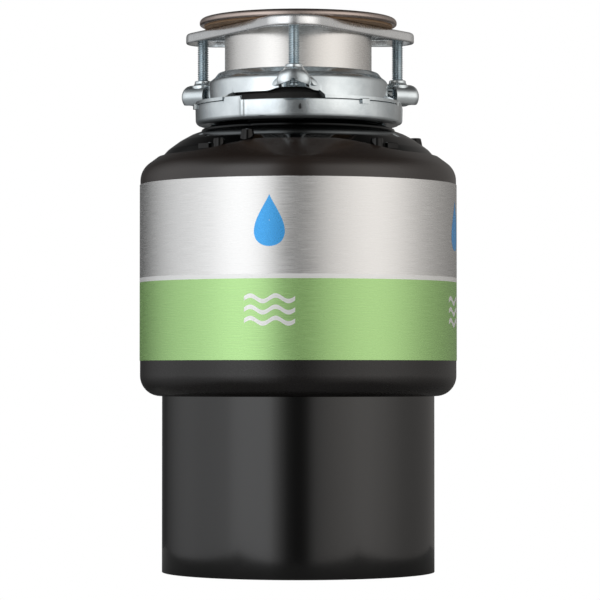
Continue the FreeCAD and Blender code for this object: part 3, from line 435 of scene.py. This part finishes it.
def sector_block(middle, width, inner, outer, bottom, top):
    """A block between two radii, in millimetres and degrees, with its top edges rounded off."""
    soft = 0.35
    rings = []
    for height, inset in ((bottom, 0), (top - soft, 0), (top, soft)):
        loop = []
        steps = 6
        half = width / 2 - math.degrees(inset / outer)
        for step in range(steps + 1):
            angle = middle - half + 2 * half * step / steps
            loop.append(polar_point((outer - inset) * MM, angle, height * MM))
        for step in range(steps + 1):
            angle = middle + half - 2 * half * step / steps
            loop.append(polar_point((inner + inset) * MM, angle, height * MM))
        rings.append(loop)
    return stack("block", rings)


# ---------------------------------------------------------------- upper casing and chamber dome

CASING_R = high("lower_casing").x
SEAM_Z = low("upper_casing").z
COVER_TOP = high("upper_casing").z
SLOPE = 0.737
COVER_SHEET = 1.2 * MM
SHOULDER_ROUND = 11.7 * MM
TONGUE_R = 70.0 * MM
SCALLOP_DEPTH = 8.4 * MM
SHOULDER_Z = COVER_TOP - (CASING_R - TONGUE_R) * SLOPE


def cover_height(radius):
    """Height of the cover's sloping top."""
    return SHOULDER_Z + (CASING_R - radius) * SLOPE


def cover_edge(angle):
    """The cover's edge is nearest the axis at the front and back, and cut back at both sides."""
    aside = abs((angle + 90) % 180 - 90)
    return TONGUE_R + SCALLOP_DEPTH * smooth_step(14, 50, aside)


def cover_section(angle):
    edge = cover_edge(angle)
    outer = CASING_R - 0.1 * MM
    inner = CASING_R - 1.6 * MM
    lip = 0.45 * MM
    return rounded([
        (inner, SEAM_Z), (outer, SEAM_Z, 0.2 * MM), (outer, cover_height(outer), SHOULDER_ROUND),
        (edge, cover_height(edge), lip), (edge, cover_height(edge) - COVER_SHEET, lip),
        (inner, cover_height(inner) - COVER_SHEET, SHOULDER_ROUND - 1.6 * MM)], 8)


def build_upper_casing():
    mesh = spun("upper_casing_visual", cover_section, even_angles(288))
    add_piece("upper_casing_shell", mesh, "housing", COVER_BROWN, ["upper_casing"])


def dome_corners():
    """The dome, the two steps and the neck, outside and then inside."""
    return scaled([
        (73, 160), (77, 160), (77, 232.6, 3.2), (73.4, 236.6, 8), (66.6, 241.6, 14),
        (60.2, 245.1, 10), (54.8, 247.1, 0.6), (54.2, 248.5, 0.5), (50.4, 248.9, 0.5),
        (49.8, 250.2, 0.5), (47.5, 250.2, 0.6),
        (47.5, 262), (44.5, 262), (44.5, 247, 2), (59, 242, 20), (73, 228, 6)])


BOSS_RING, BOSS_ANGLE = 72.2 * MM, 36.5
LUG_ANGLE = 43.5
EYE_RING, EYE_ANGLE = 66.6 * MM, -24.5
TAB_ANGLE = 50


def build_dome():
    """The dome with its neck's lock tabs, and the small bosses, lugs and screw eyes on it."""
    section = rounded(dome_corners(), 5)
    mesh = spun("container_visual", lambda angle: section, even_angles(256))
    tabs = [sector_block(TAB_ANGLE + 120 * turn, 20, 47, 56.2, 254, 257)
            for turn in range(3)]
    add_piece("container_shell", flatten(mesh, *tabs), "housing", CHAMBER_BLACK,
              ["container_body"])
    for side in (-1, 1):
        for rear in (0, 180):
            spot = polar_point(BOSS_RING, side * BOSS_ANGLE + rear, 0)
            boss = turned_post("boss", [(3.6, 232), (3.4, 238.6), (3.1, 239.4), (1.9, 239.6),
                                        (1.7, 238.6), (0.3, 238.4)], (spot.x, spot.y))
            add_piece(f"cover_boss_{side + 1}_{rear}", boss, "housing",
                      CHAMBER_BLACK)
            lug = sector_block(side * LUG_ANGLE + rear, 6, 72.6, 75.4, 230, 237.4)
            add_piece(f"cover_lug_{side + 1}_{rear}", lug, "housing",
                      CHAMBER_BLACK)
    for turn in range(3):
        spot = polar_point(EYE_RING, EYE_ANGLE + 120 * turn, 0)
        eye = turned_post("eye", [(4.6, 237), (3.6, 242.0), (3.1, 244.1), (2.5, 244.3), (1.6, 243.5),
                                  (1.4, 241.5), (0.3, 241.4)], (spot.x, spot.y))
        add_piece(f"dome_eye_{turn + 1}", eye, "housing", CHAMBER_BLACK)


# ---------------------------------------------------------------- sink mount

SKIRT_LOW = low("upper_mounting_ring").z
EAR_Z = 270.0 * MM
EAR_FAR = 76.3 * MM
SCREW_RING = 64.5 * MM
WINDOW_FROM, WINDOW_TO = -43, 17
CUP_MIDDLE = 49.6 * MM
RING_SHEET = 1.8 * MM


def window_share(angle):
    """1 inside a window of the skirt and 0 outside it."""
    place = from_ear(angle)
    opened = smooth_step(WINDOW_FROM - 1.5, WINDOW_FROM, place)
    return opened * (1 - smooth_step(WINDOW_TO - 2, WINDOW_TO, place))


def upper_ring_section(angle):
    """Lip, cone and skirt, with a flange at the foot that stops at each window."""
    window = window_share(angle)
    place = from_ear(angle)
    arch = smooth_step(-19, -8, place) * (1 - smooth_step(6, 14, place))
    foot = SKIRT_LOW + 0.9 * MM + window * (3.6 + 2.0 * arch) * MM
    reach = 1 - window
    line = rounded(scaled([(42.4, 279.5), (44.6, 279.3, 1.1), (46.4, 276.9, 1.6),
                           (49.6, 274.4, 2.4), (49.6, 270.5)]), 5, closed=False)
    line += [Vector((CUP_MIDDLE + out * reach * MM, foot + up * MM))
             for out, up in ((0, 1.2), (0.3, 0.4), (1.0, 0), (8.3, 0))]
    return sheet(line, RING_SHEET)


def ear_loop(reach, half_width, half_height, thick, half_open, lift=0.0):
    """A C section across the ear at one distance from the axis; half_open is half the arc kept."""
    steps = 22
    outer, inner = [], []
    for step in range(steps + 1):
        turn = math.radians(90 - half_open + 2 * half_open * step / steps)
        side, up = math.cos(turn), math.sin(turn)
        outer.append(Vector((half_width * side, -reach, EAR_Z + lift + half_height * up)))
        inner.append(Vector(((half_width - thick) * side, -reach,
                             EAR_Z + lift + (half_height - thick) * up)))
    return outer + inner[::-1]


def build_ear(angle, number, inner_open, outer_open, half_width):
    """A rolled ear: a tube along the radius, open below and at its inner end."""
    half_height, thick = 7.1 * MM, 1.9 * MM
    start, dome_start = 59.6, 70.5
    stations = [start + 0.6 * place for place in range(19)] + [71.2, 72.2, 73.2, 74.1, 74.9, 75.5,
                                                              75.9, 76.15, 76.25]
    loops = []
    for station in stations:
        beyond = max(station - dome_start, 0) / (EAR_FAR / MM - dome_start)
        shrink = math.sqrt(max(1 - beyond ** 3.4, 0.02))
        half_open = outer_open + (inner_open - outer_open) * (1 - smooth_step(63, 71, station))
        loops.append(ear_loop(station * MM, half_width * shrink, half_height * shrink,
                              thick * min(1, shrink * 1.4), half_open))
    tube = stack("tube", loops)
    bridge = stack("bridge", [ear_loop(reach * MM, wide * MM, half_height, thick, half_open,
                                       drop * MM)
                              for reach, wide, half_open, drop in (
                                  (46.4, 11.5, 60, -1.4), (48.4, 12.6, 74, -1.3),
                                  (49.9, 12.6, 88, -1.0), (51.0, 11.6, 92, -0.8),
                                  (51.8, 10.2, 90, -0.65), (52.8, 9.2, 76, -0.5),
                                  (54.2, 8.6, 52, -0.35), (56, 8.5, 40, -0.2), (58, 8.5, 40, -0.1),
                                  (59.4, 8.45, 44, -0.06), (61, 8.4, 50, -0.06))])
    collar = turned_post("collar", [
        (6.6, 274.6), (6.5, 276.3), (5.4, 276.9), (4.9, 277.8), (4.8, 278.9), (4.4, 279.3),
        (3.6, 279.3), (3.3, 278.9), (3.3, 275.0)], (0, -SCREW_RING))
    mesh = flatten(tube, bridge, collar)
    add_piece(f"mount_ear_{number}", moved(mesh, about_axis(angle)), "housing", ZINC,
              sharp=38)


def build_upper_ring():
    detail = []
    for ear in EAR_ANGLES:
        detail += [(ear + WINDOW_FROM - 1, 2, 0.25), (ear + WINDOW_TO - 1, 2, 0.25)]
    mesh = spun("upper_ring_visual", upper_ring_section, angles_with_detail(1.5, detail))
    add_piece("upper_ring_plate", mesh, "housing", ZINC, ["upper_mounting_ring"], sharp=38)
    shapes = ((116, 112, 9.2 * MM), (146, 134, 8.5 * MM), (146, 134, 8.5 * MM))
    for number, (angle, shape) in enumerate(zip(EAR_ANGLES, shapes), start=1):
        build_ear(angle, number, *shape)


BAND_R = high("lower_mounting_ring").x
BAND_LOW = low("lower_mounting_ring").z
BAND_TOP = 261.6 * MM
RIB_ANGLE = -30


def lower_ring_section(angle):
    """The band with one pressed rib and one raised catch beside each ear."""
    place = from_ear(angle)
    rib = 0.9 * MM * math.exp(-((place - RIB_ANGLE) / 1.5) ** 2)
    raised = smooth_step(-43.4, -42.6, place) * (1 - smooth_step(-31.6, -30.6, place))
    top = BAND_TOP + 2.2 * MM * raised
    outer = BAND_R - 0.9 * MM + rib
    section = [(49.2 * MM, BAND_LOW + 0.2 * MM, 0.3 * MM), (54.8 * MM, BAND_LOW, 1.0 * MM),
               (outer - 0.2 * MM, BAND_LOW + 0.4 * MM, 2.6 * MM), (outer, top - 1.6 * MM, 0.8 * MM),
               (outer - 0.25 * MM, top, 0.5 * MM), (BAND_R - 2.6 * MM, top, 0.4 * MM),
               (BAND_R - 2.6 * MM, BAND_LOW + 2.4 * MM, 1.2 * MM),
               (49.2 * MM, BAND_LOW + 2.2 * MM, 0.4 * MM)]
    return rounded(section, 4)


def teardrop_mesh(angle, height):
    """A small teardrop of painted shade standing in for a hole, level with the band."""
    steps, half_wide, half_tall = 20, 0.8 * MM, 1.1 * MM
    rings = []
    for radius in (BAND_R - 0.05 * MM, BAND_R - 1.25 * MM):
        loop = []
        for step in range(steps):
            turn = TURN * step / steps
            pull = 1 + 0.9 * max(math.sin(turn), 0) ** 4
            aside = math.degrees(half_wide * math.cos(turn) / BAND_R)
            loop.append(polar_point(radius, angle + aside,
                                    height + half_tall * math.sin(turn) * pull))
        rings.append(loop)
    return stack("teardrop", rings)


def build_lower_ring():
    detail = []
    for ear in EAR_ANGLES:
        detail += [(ear + RIB_ANGLE, 4, 0.4), (ear - 43, 1.5, 0.25)]
    mesh = spun("lower_ring_visual", lower_ring_section, angles_with_detail(2, detail))
    tear = teardrop_mesh(1.0, 256.6 * MM)
    lugs = [sector_block(39 + 120 * turn, 5, 57.0, 59.5, 259.4, 262.4) for turn in range(3)]
    add_piece("lower_ring_band", flatten(mesh, *lugs), "lock_ring", ZINC,
              ["lower_mounting_ring"], sharp=38)
    # The dark teardrop is painted shade for a hole in the band, given the dark rubber material.
    add_piece("lower_ring_hole_shade", tear, "lock_ring", RUBBER)


CLAMP_LOW = low("backup_flange").z
CORNER_R = 17.3 * MM
CORNER_AT = 55.5 * MM
BORE_R = 42.5 * MM


def clamp_radius(angle, inset):
    """Distance from the axis to the rounded triangle, moved in by inset."""
    aside = math.radians(abs(from_ear(angle)))
    corner = CORNER_R - inset
    join = math.atan2(corner * math.sin(math.pi / 3), CORNER_AT + corner * math.cos(math.pi / 3))
    if aside < join:
        across = CORNER_AT * math.sin(aside)
        return CORNER_AT * math.cos(aside) + math.sqrt(corner ** 2 - across ** 2)
    return (CORNER_AT * math.cos(math.pi / 3) + corner) / math.cos(math.pi / 3 - aside)


def clamp_section(angle):
    rim = [(0, 1.0), (0.15, 0.4), (0.6, 0.05), (1.1, 0.1), (1.5, 0.6), (1.5, 3.4), (1.8, 4.1),
           (2.4, 4.5)]
    section = []
    for inset, up in rim:
        radius = max(clamp_radius(angle, inset * MM), BORE_R + 1.05 * MM)
        section.append(Vector((radius, CLAMP_LOW + up * MM)))
    for out, up in ((1.05, 4.5), (1.0, 4.2), (1.0, 2.9), (0.7, 2.6), (0.3, 2.6), (0.0, 2.9),
                    (0.0, 5.3), (0.25, 5.8), (0.8, 6.0)):
        section.append(Vector((BORE_R + out * MM, CLAMP_LOW + up * MM)))
    for inset, up in ((2.3, 6.0), (1.5, 5.9), (0.8, 5.6), (0.3, 5.0), (0.05, 4.2)):
        radius = max(clamp_radius(angle, inset * MM), BORE_R + 0.9 * MM)
        section.append(Vector((radius, CLAMP_LOW + up * MM)))
    return section


def build_clamp_plate():
    detail = [(ear, 16, 0.75) for ear in EAR_ANGLES]
    mesh = spun("clamp_visual", clamp_section, angles_with_detail(1.5, detail))
    add_piece("clamping_plate", mesh, "clamp", PLATE_ZINC, ["backup_flange"], sharp=40)


PITCH = 1.27 * MM
THREAD_R = 3.175 * MM
THREAD_DEPTH = 0.55 * MM


def thread_radius(phase):
    """Radius over one pitch: a flat root, two flanks and a narrow crest."""
    ramp = abs(phase % 1 - 0.5) * 2
    return THREAD_R - THREAD_DEPTH * smooth_step(0.15, 0.8, ramp)


def build_screw(number):
    node = f"mounting_screw_{number}"
    bottom, top = low(node).z, high(node).z
    angle = EAR_ANGLES[number - 1]
    centre = polar_point(SCREW_RING, angle, 0)
    sides, slot_deep = 28, 1.8 * MM
    start = bottom + slot_deep
    rows = int((top - start) / (PITCH / 7))
    rings = []
    for row in range(rows + 1):
        height = start + (top - start) * row / rows
        fade = min(1, (height - start) / PITCH, (top - height) / (0.3 * MM) + 0.05)
        loop = []
        for side in range(sides):
            phase = (height - start) / PITCH - side / sides
            radius = THREAD_R - THREAD_DEPTH + fade * (thread_radius(phase) - THREAD_R + THREAD_DEPTH)
            turn = TURN * side / sides
            loop.append(Vector((centre.x + radius * math.cos(turn),
                                centre.y + radius * math.sin(turn), height)))
        rings.append(loop)
    shank = stack("shank", rings)
    halves = []
    for side in (-1, 1):
        loops = []
        for height, size in ((bottom, 0.82), (bottom + 0.5 * MM, 0.92), (start + 0.05 * MM, 0.92)):
            radius = (THREAD_R - THREAD_DEPTH * 0.3) * size
            gap = 0.6 * MM
            reach = math.acos(gap / radius)
            loops.append([Vector((centre.x + side * radius * math.cos(-reach + 2 * reach * step / 10),
                                  centre.y + radius * math.sin(-reach + 2 * reach * step / 10),
                                  height)) for step in range(11)])
        halves.append(stack("half", loops))
    add_piece(f"threaded_screw_{number}", flatten(shank, *halves), f"screw_{number}",
              SCREW_ZINC, [node], sharp=50)


# ---------------------------------------------------------------- label

LABEL_SKIN = LABEL_HIGH.x - 0.06 * MM
INK_SKIN = LABEL_HIGH.x - 0.01 * MM
OUTLET_EDGE = 2.2 * MM


def windowed_band(name, inner, outer, heights, angles, skip):
    """A thin band round the axis from a grid of heights and angles, without the skipped cells."""
    built = bmesh.new()
    skins = [[[built.verts.new(polar_point(radius, angle, height)) for angle in angles]
              for height in heights] for radius in (inner, outer)]
    count = len(angles)
    kept = {(row, place) for row in range(len(heights) - 1) for place in range(count)
            if not skip(heights[row], heights[row + 1], angles[place],
                        angles[(place + 1) % count] or 360)}

    def side(row, place):
        return (row, place % count)

    for row, place in sorted(kept):
        corners = (side(row, place), side(row, place + 1), side(row + 1, place + 1),
                   side(row + 1, place))
        for skin in skins:
            built.faces.new([skin[level][spot] for level, spot in corners])
        beyond = (side(row - 1, place), side(row, place + 1), side(row + 1, place),
                  side(row, place - 1))
        for index, neighbour in enumerate(beyond):
            if neighbour not in kept:
                first, second = corners[index], corners[(index + 1) % 4]
                built.faces.new((skins[0][first[0]][first[1]], skins[0][second[0]][second[1]],
                                 skins[1][second[0]][second[1]], skins[1][first[0]][first[1]]))
    loose = [vert for vert in built.verts if not vert.link_faces]
    bmesh.ops.delete(built, geom=loose, context="VERTS")
    return to_mesh(name, built)


def build_label():
    boss_low, boss_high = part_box("discharge_flange")
    half = math.degrees((boss_high.x + OUTLET_EDGE) / LABEL_HIGH.x)
    window_low, window_high = boss_low.z - OUTLET_EDGE, boss_high.z + OUTLET_EDGE
    angles = sorted({1.5 * place for place in range(240)} | {180 - half, 180 + half})

    def skip(bottom, top, left, right):
        return (window_low < (bottom + top) / 2 < window_high
                and abs((left + right) / 2 - 180) < half)

    for name, bottom, top, material in (
            ("label_green", LABEL_LOW.z, BAND_END, GREEN_FOIL),
            ("label_stripe", BAND_END, STRIPE_END, WHITE_INK),
            ("label_silver", STRIPE_END, LABEL_HIGH.z, SILVER_FOIL)):
        inside = [level for level in (window_low, window_high) if bottom < level < top]
        heights = sorted({bottom, top, (bottom + top) / 2, *inside})
        mesh = windowed_band(name, CASING_R + 0.01 * MM, LABEL_SKIN, heights, angles, skip)
        replaced = ["wrap_label"] if name == "label_silver" else []
        add_piece(name, mesh, "housing", material, replaced)


def decal(name, loops, material):
    """A thin printed patch on the label from nested loops of (across, height) in millimetres."""
    built = bmesh.new()
    skins = []
    for radius in (INK_SKIN, LABEL_SKIN - 0.1 * MM):
        skins.append([[built.verts.new(polar_point(radius, math.degrees(across * MM / radius),
                                                   height * MM)) for across, height in loop]
                      for loop in loops])
    count = len(loops[0])
    for skin in skins:
        for inner, outer in zip(skin, skin[1:]):
            for place in range(count):
                other = (place + 1) % count
                built.faces.new((inner[place], inner[other], outer[other], outer[place]))
    for rim in (0, -1):
        for place in range(count):
            other = (place + 1) % count
            built.faces.new((skins[0][rim][place], skins[0][rim][other], skins[1][rim][other],
                             skins[1][rim][place]))
    return add_piece(name, to_mesh(name, built), "housing", material)


def nested(outline, inner_share):
    """Loops from an outline shrunk towards its middle to the outline itself."""
    steps = 8
    count = len(outline)
    middle = (sum(point[0] for point in outline) / count, sum(point[1] for point in outline) / count)
    return [[(middle[0] + (across - middle[0]) * share, middle[1] + (height - middle[1]) * share)
             for across, height in outline]
            for share in [inner_share + (1 - inner_share) * step / steps
                          for step in range(steps + 1)]]


def drop_outline(across, height, size):
    points = []
    for step in range(72):
        turn = TURN * step / 72
        narrow = math.sin(turn / 2) ** 1.5
        points.append((across + size * 0.86 * narrow * math.sin(turn),
                       height + size * math.cos(turn)))
    return points


def ribbon(name, left, right, middle_at, width, material):
    """A printed ribbon from left to right whose middle height follows middle_at."""
    steps = 48
    across = [left + (right - left) * step / steps for step in range(steps + 1)]
    loops = [[(place, middle_at(place) - width / 2 * share) for place in across]
             + [(place, middle_at(place) + width / 2 * share) for place in reversed(across)]
             for share in (0.02, 1.0)]
    decal(name, loops, material)


def build_marks():
    """Generic marks round the label: four blue drops, with white waves except over the outlet."""
    drop_height = LABEL_LOW.z / MM + 75.0
    wave_height = LABEL_LOW.z / MM + 27.0
    drop_size = 14.0
    wave_long, wave_rise, wave_gap, wave_wide = 28.0, 1.5, 6.0, 2.4
    over_outlet = 2
    for turn in range(4):
        angle = -10 + 88 * turn
        across = math.radians(angle) * LABEL_HIGH.x / MM
        decal(f"mark_drop_{turn + 1}", nested(drop_outline(across, drop_height, drop_size), 0.02),
              BLUE_INK)
        for row in range(3):
            if turn == over_outlet:
                continue

            def wave(place, row=row, start=across):
                return (wave_height + wave_gap * (row - 1)
                        + wave_rise * math.sin(TURN * (place - start) / (wave_long / 2)))

            ribbon(f"mark_wave_{turn + 1}_{row + 1}", across - wave_long / 2,
                   across + wave_long / 2, wave, wave_wide, WHITE_INK)


# ---------------------------------------------------------------- stage, light and camera

def make_floor():
    """A small floor that is plain white to the camera and a darker grey to every other ray."""
    material, nodes, links = new_material("pale_floor")
    shader = nodes["Principled BSDF"]
    shader.inputs["Roughness"].default_value = 0.9
    tone = noise(nodes, links, 3, 2)
    links.new(two_tone(nodes, links, tone, (0.34, 0.34, 0.34), (0.38, 0.38, 0.38)),
              shader.inputs["Base Color"])
    white = nodes.new("ShaderNodeEmission")
    mix = nodes.new("ShaderNodeMixShader")
    links.new(nodes.new("ShaderNodeLightPath").outputs["Is Camera Ray"], mix.inputs["Fac"])
    links.new(shader.outputs["BSDF"], mix.inputs[1])
    links.new(white.outputs["Emission"], mix.inputs[2])
    links.new(mix.outputs["Shader"], nodes["Material Output"].inputs["Surface"])
    mesh = bpy.data.meshes.new("floor")
    reach = 0.22
    mesh.from_pydata([(-reach, -reach, 0), (reach, -reach, 0), (reach, reach, 0),
                      (-reach, reach, 0)], [], [(0, 1, 2, 3)])
    mesh.materials.append(material)
    floor = bpy.data.objects.new("floor", mesh)
    bpy.context.scene.collection.objects.link(floor)


# Studio light by azimuth in degrees, 0 at the camera and positive to its right: (azimuth, level).
# Worked out from the photograph's brightness across the shell and label, and then adjusted
# against its tones. It is not plain studio light.
STUDIO = [(-180, 0.12), (-157, 0.07), (-140, 0.19), (-128, 0.38), (-114, 0.66), (-100, 0.88),
          (-86, 1.0), (-64, 1.22), (-45, 1.68), (-32, 1.70), (-20, 1.12), (-12, 0.44), (-5, 0.14),
          (0, 0.10), (5, 0.16), (10, 0.40), (17, 0.76), (30, 1.04), (45, 1.24), (54, 1.32),
          (70, 1.18), (85, 0.90), (104, 0.56), (122, 0.40), (140, 0.30), (155, 0.24), (170, 0.16),
          (180, 0.12)]
# The same light by the sine of its elevation: (sine, share).
STUDIO_RISE = [(-1, 0.28), (-0.5, 0.32), (-0.15, 0.62), (0, 0.93), (0.3, 1.0), (0.5, 0.9),
               (0.65, 0.6), (0.8, 0.22), (1, 0.06)]


def float_curve(nodes, links, value, spots, low, high, top):
    """A smooth curve through (place, level) spots over low to high, as a share of top."""
    place = nodes.new("ShaderNodeMapRange")
    place.inputs["From Min"].default_value = low
    place.inputs["From Max"].default_value = high
    links.new(value, place.inputs["Value"])
    curve = nodes.new("ShaderNodeFloatCurve")
    line = curve.mapping.curves[0]
    while len(line.points) < len(spots):
        line.points.new(0.5, 0.5)
    scale = spots[-1][0] - spots[0][0]
    for point, (spot, level) in zip(line.points, spots):
        point.location = ((spot - spots[0][0]) / scale, level / top)
        point.handle_type = "AUTO_CLAMPED"
    curve.mapping.update()
    links.new(place.outputs["Result"], curve.inputs["Value"])
    return curve.outputs["Value"], place.outputs["Result"]


def make_world():
    """The fitted light, with a dark gap at the camera; to the camera itself it is plain white."""
    world = bpy.data.worlds.new("studio")
    bpy.context.scene.world = world
    world.use_nodes = True
    nodes, links = world.node_tree.nodes, world.node_tree.links
    nodes.clear()
    split = nodes.new("ShaderNodeSeparateXYZ")
    links.new(nodes.new("ShaderNodeTexCoord").outputs["Generated"], split.inputs["Vector"])
    top = 1.8
    azimuth = azimuth_of(nodes, links, split)
    level, around = float_curve(nodes, links, azimuth, STUDIO, -math.pi, math.pi, top)
    rise = float_curve(nodes, links, split.outputs["Z"], STUDIO_RISE, -1, 1, 1)[0]
    tint = nodes.new("ShaderNodeValToRGB")
    tint.color_ramp.elements[0].position = 0.42
    tint.color_ramp.elements[1].position = 0.58
    tint.color_ramp.elements[0].color = (0.985, 0.99, 1.0, 1)
    tint.color_ramp.elements[1].color = (1.0, 0.965, 0.93, 1)
    links.new(around, tint.inputs["Fac"])
    lit = nodes.new("ShaderNodeBackground")
    shaped = nodes.new("ShaderNodeMath")
    shaped.operation = "MULTIPLY"
    links.new(level, shaped.inputs[0])
    links.new(rise, shaped.inputs[1])
    strength = nodes.new("ShaderNodeMath")
    strength.operation = "MULTIPLY"
    strength.inputs[1].default_value = top
    links.new(shaped.outputs["Value"], strength.inputs[0])
    links.new(strength.outputs["Value"], lit.inputs["Strength"])
    links.new(tint.outputs["Color"], lit.inputs["Color"])
    white = nodes.new("ShaderNodeBackground")
    white.inputs["Color"].default_value = (1, 1, 1, 1)
    white.inputs["Strength"].default_value = 1.0
    mix = nodes.new("ShaderNodeMixShader")
    links.new(nodes.new("ShaderNodeLightPath").outputs["Is Camera Ray"], mix.inputs["Fac"])
    links.new(lit.outputs["Background"], mix.inputs[1])
    links.new(white.outputs["Background"], mix.inputs[2])
    links.new(mix.outputs["Shader"], nodes.new("ShaderNodeOutputWorld").inputs["Surface"])


def make_camera():
    data = bpy.data.cameras.new("camera")
    data.sensor_width = 36
    data.lens = 186.4
    data.clip_start = 0.1
    data.clip_end = 60
    camera = bpy.data.objects.new("camera", data)
    bpy.context.scene.collection.objects.link(camera)
    eye = Vector((0.001, -1.75, 0.1103))
    target = Vector((0.001, 0, 0.1526))
    camera.location = eye
    camera.rotation_euler = (target - eye).to_track_quat("-Z", "Y").to_euler()
    bpy.context.scene.camera = camera


dress_cad_nodes()
build_upper_casing()
build_dome()
build_upper_ring()
build_lower_ring()
build_clamp_plate()
for screw in (1, 2, 3):
    build_screw(screw)
build_label()
build_marks()
make_floor()
make_world()
make_camera()
bpy.context.scene.view_settings.view_transform = "Standard"
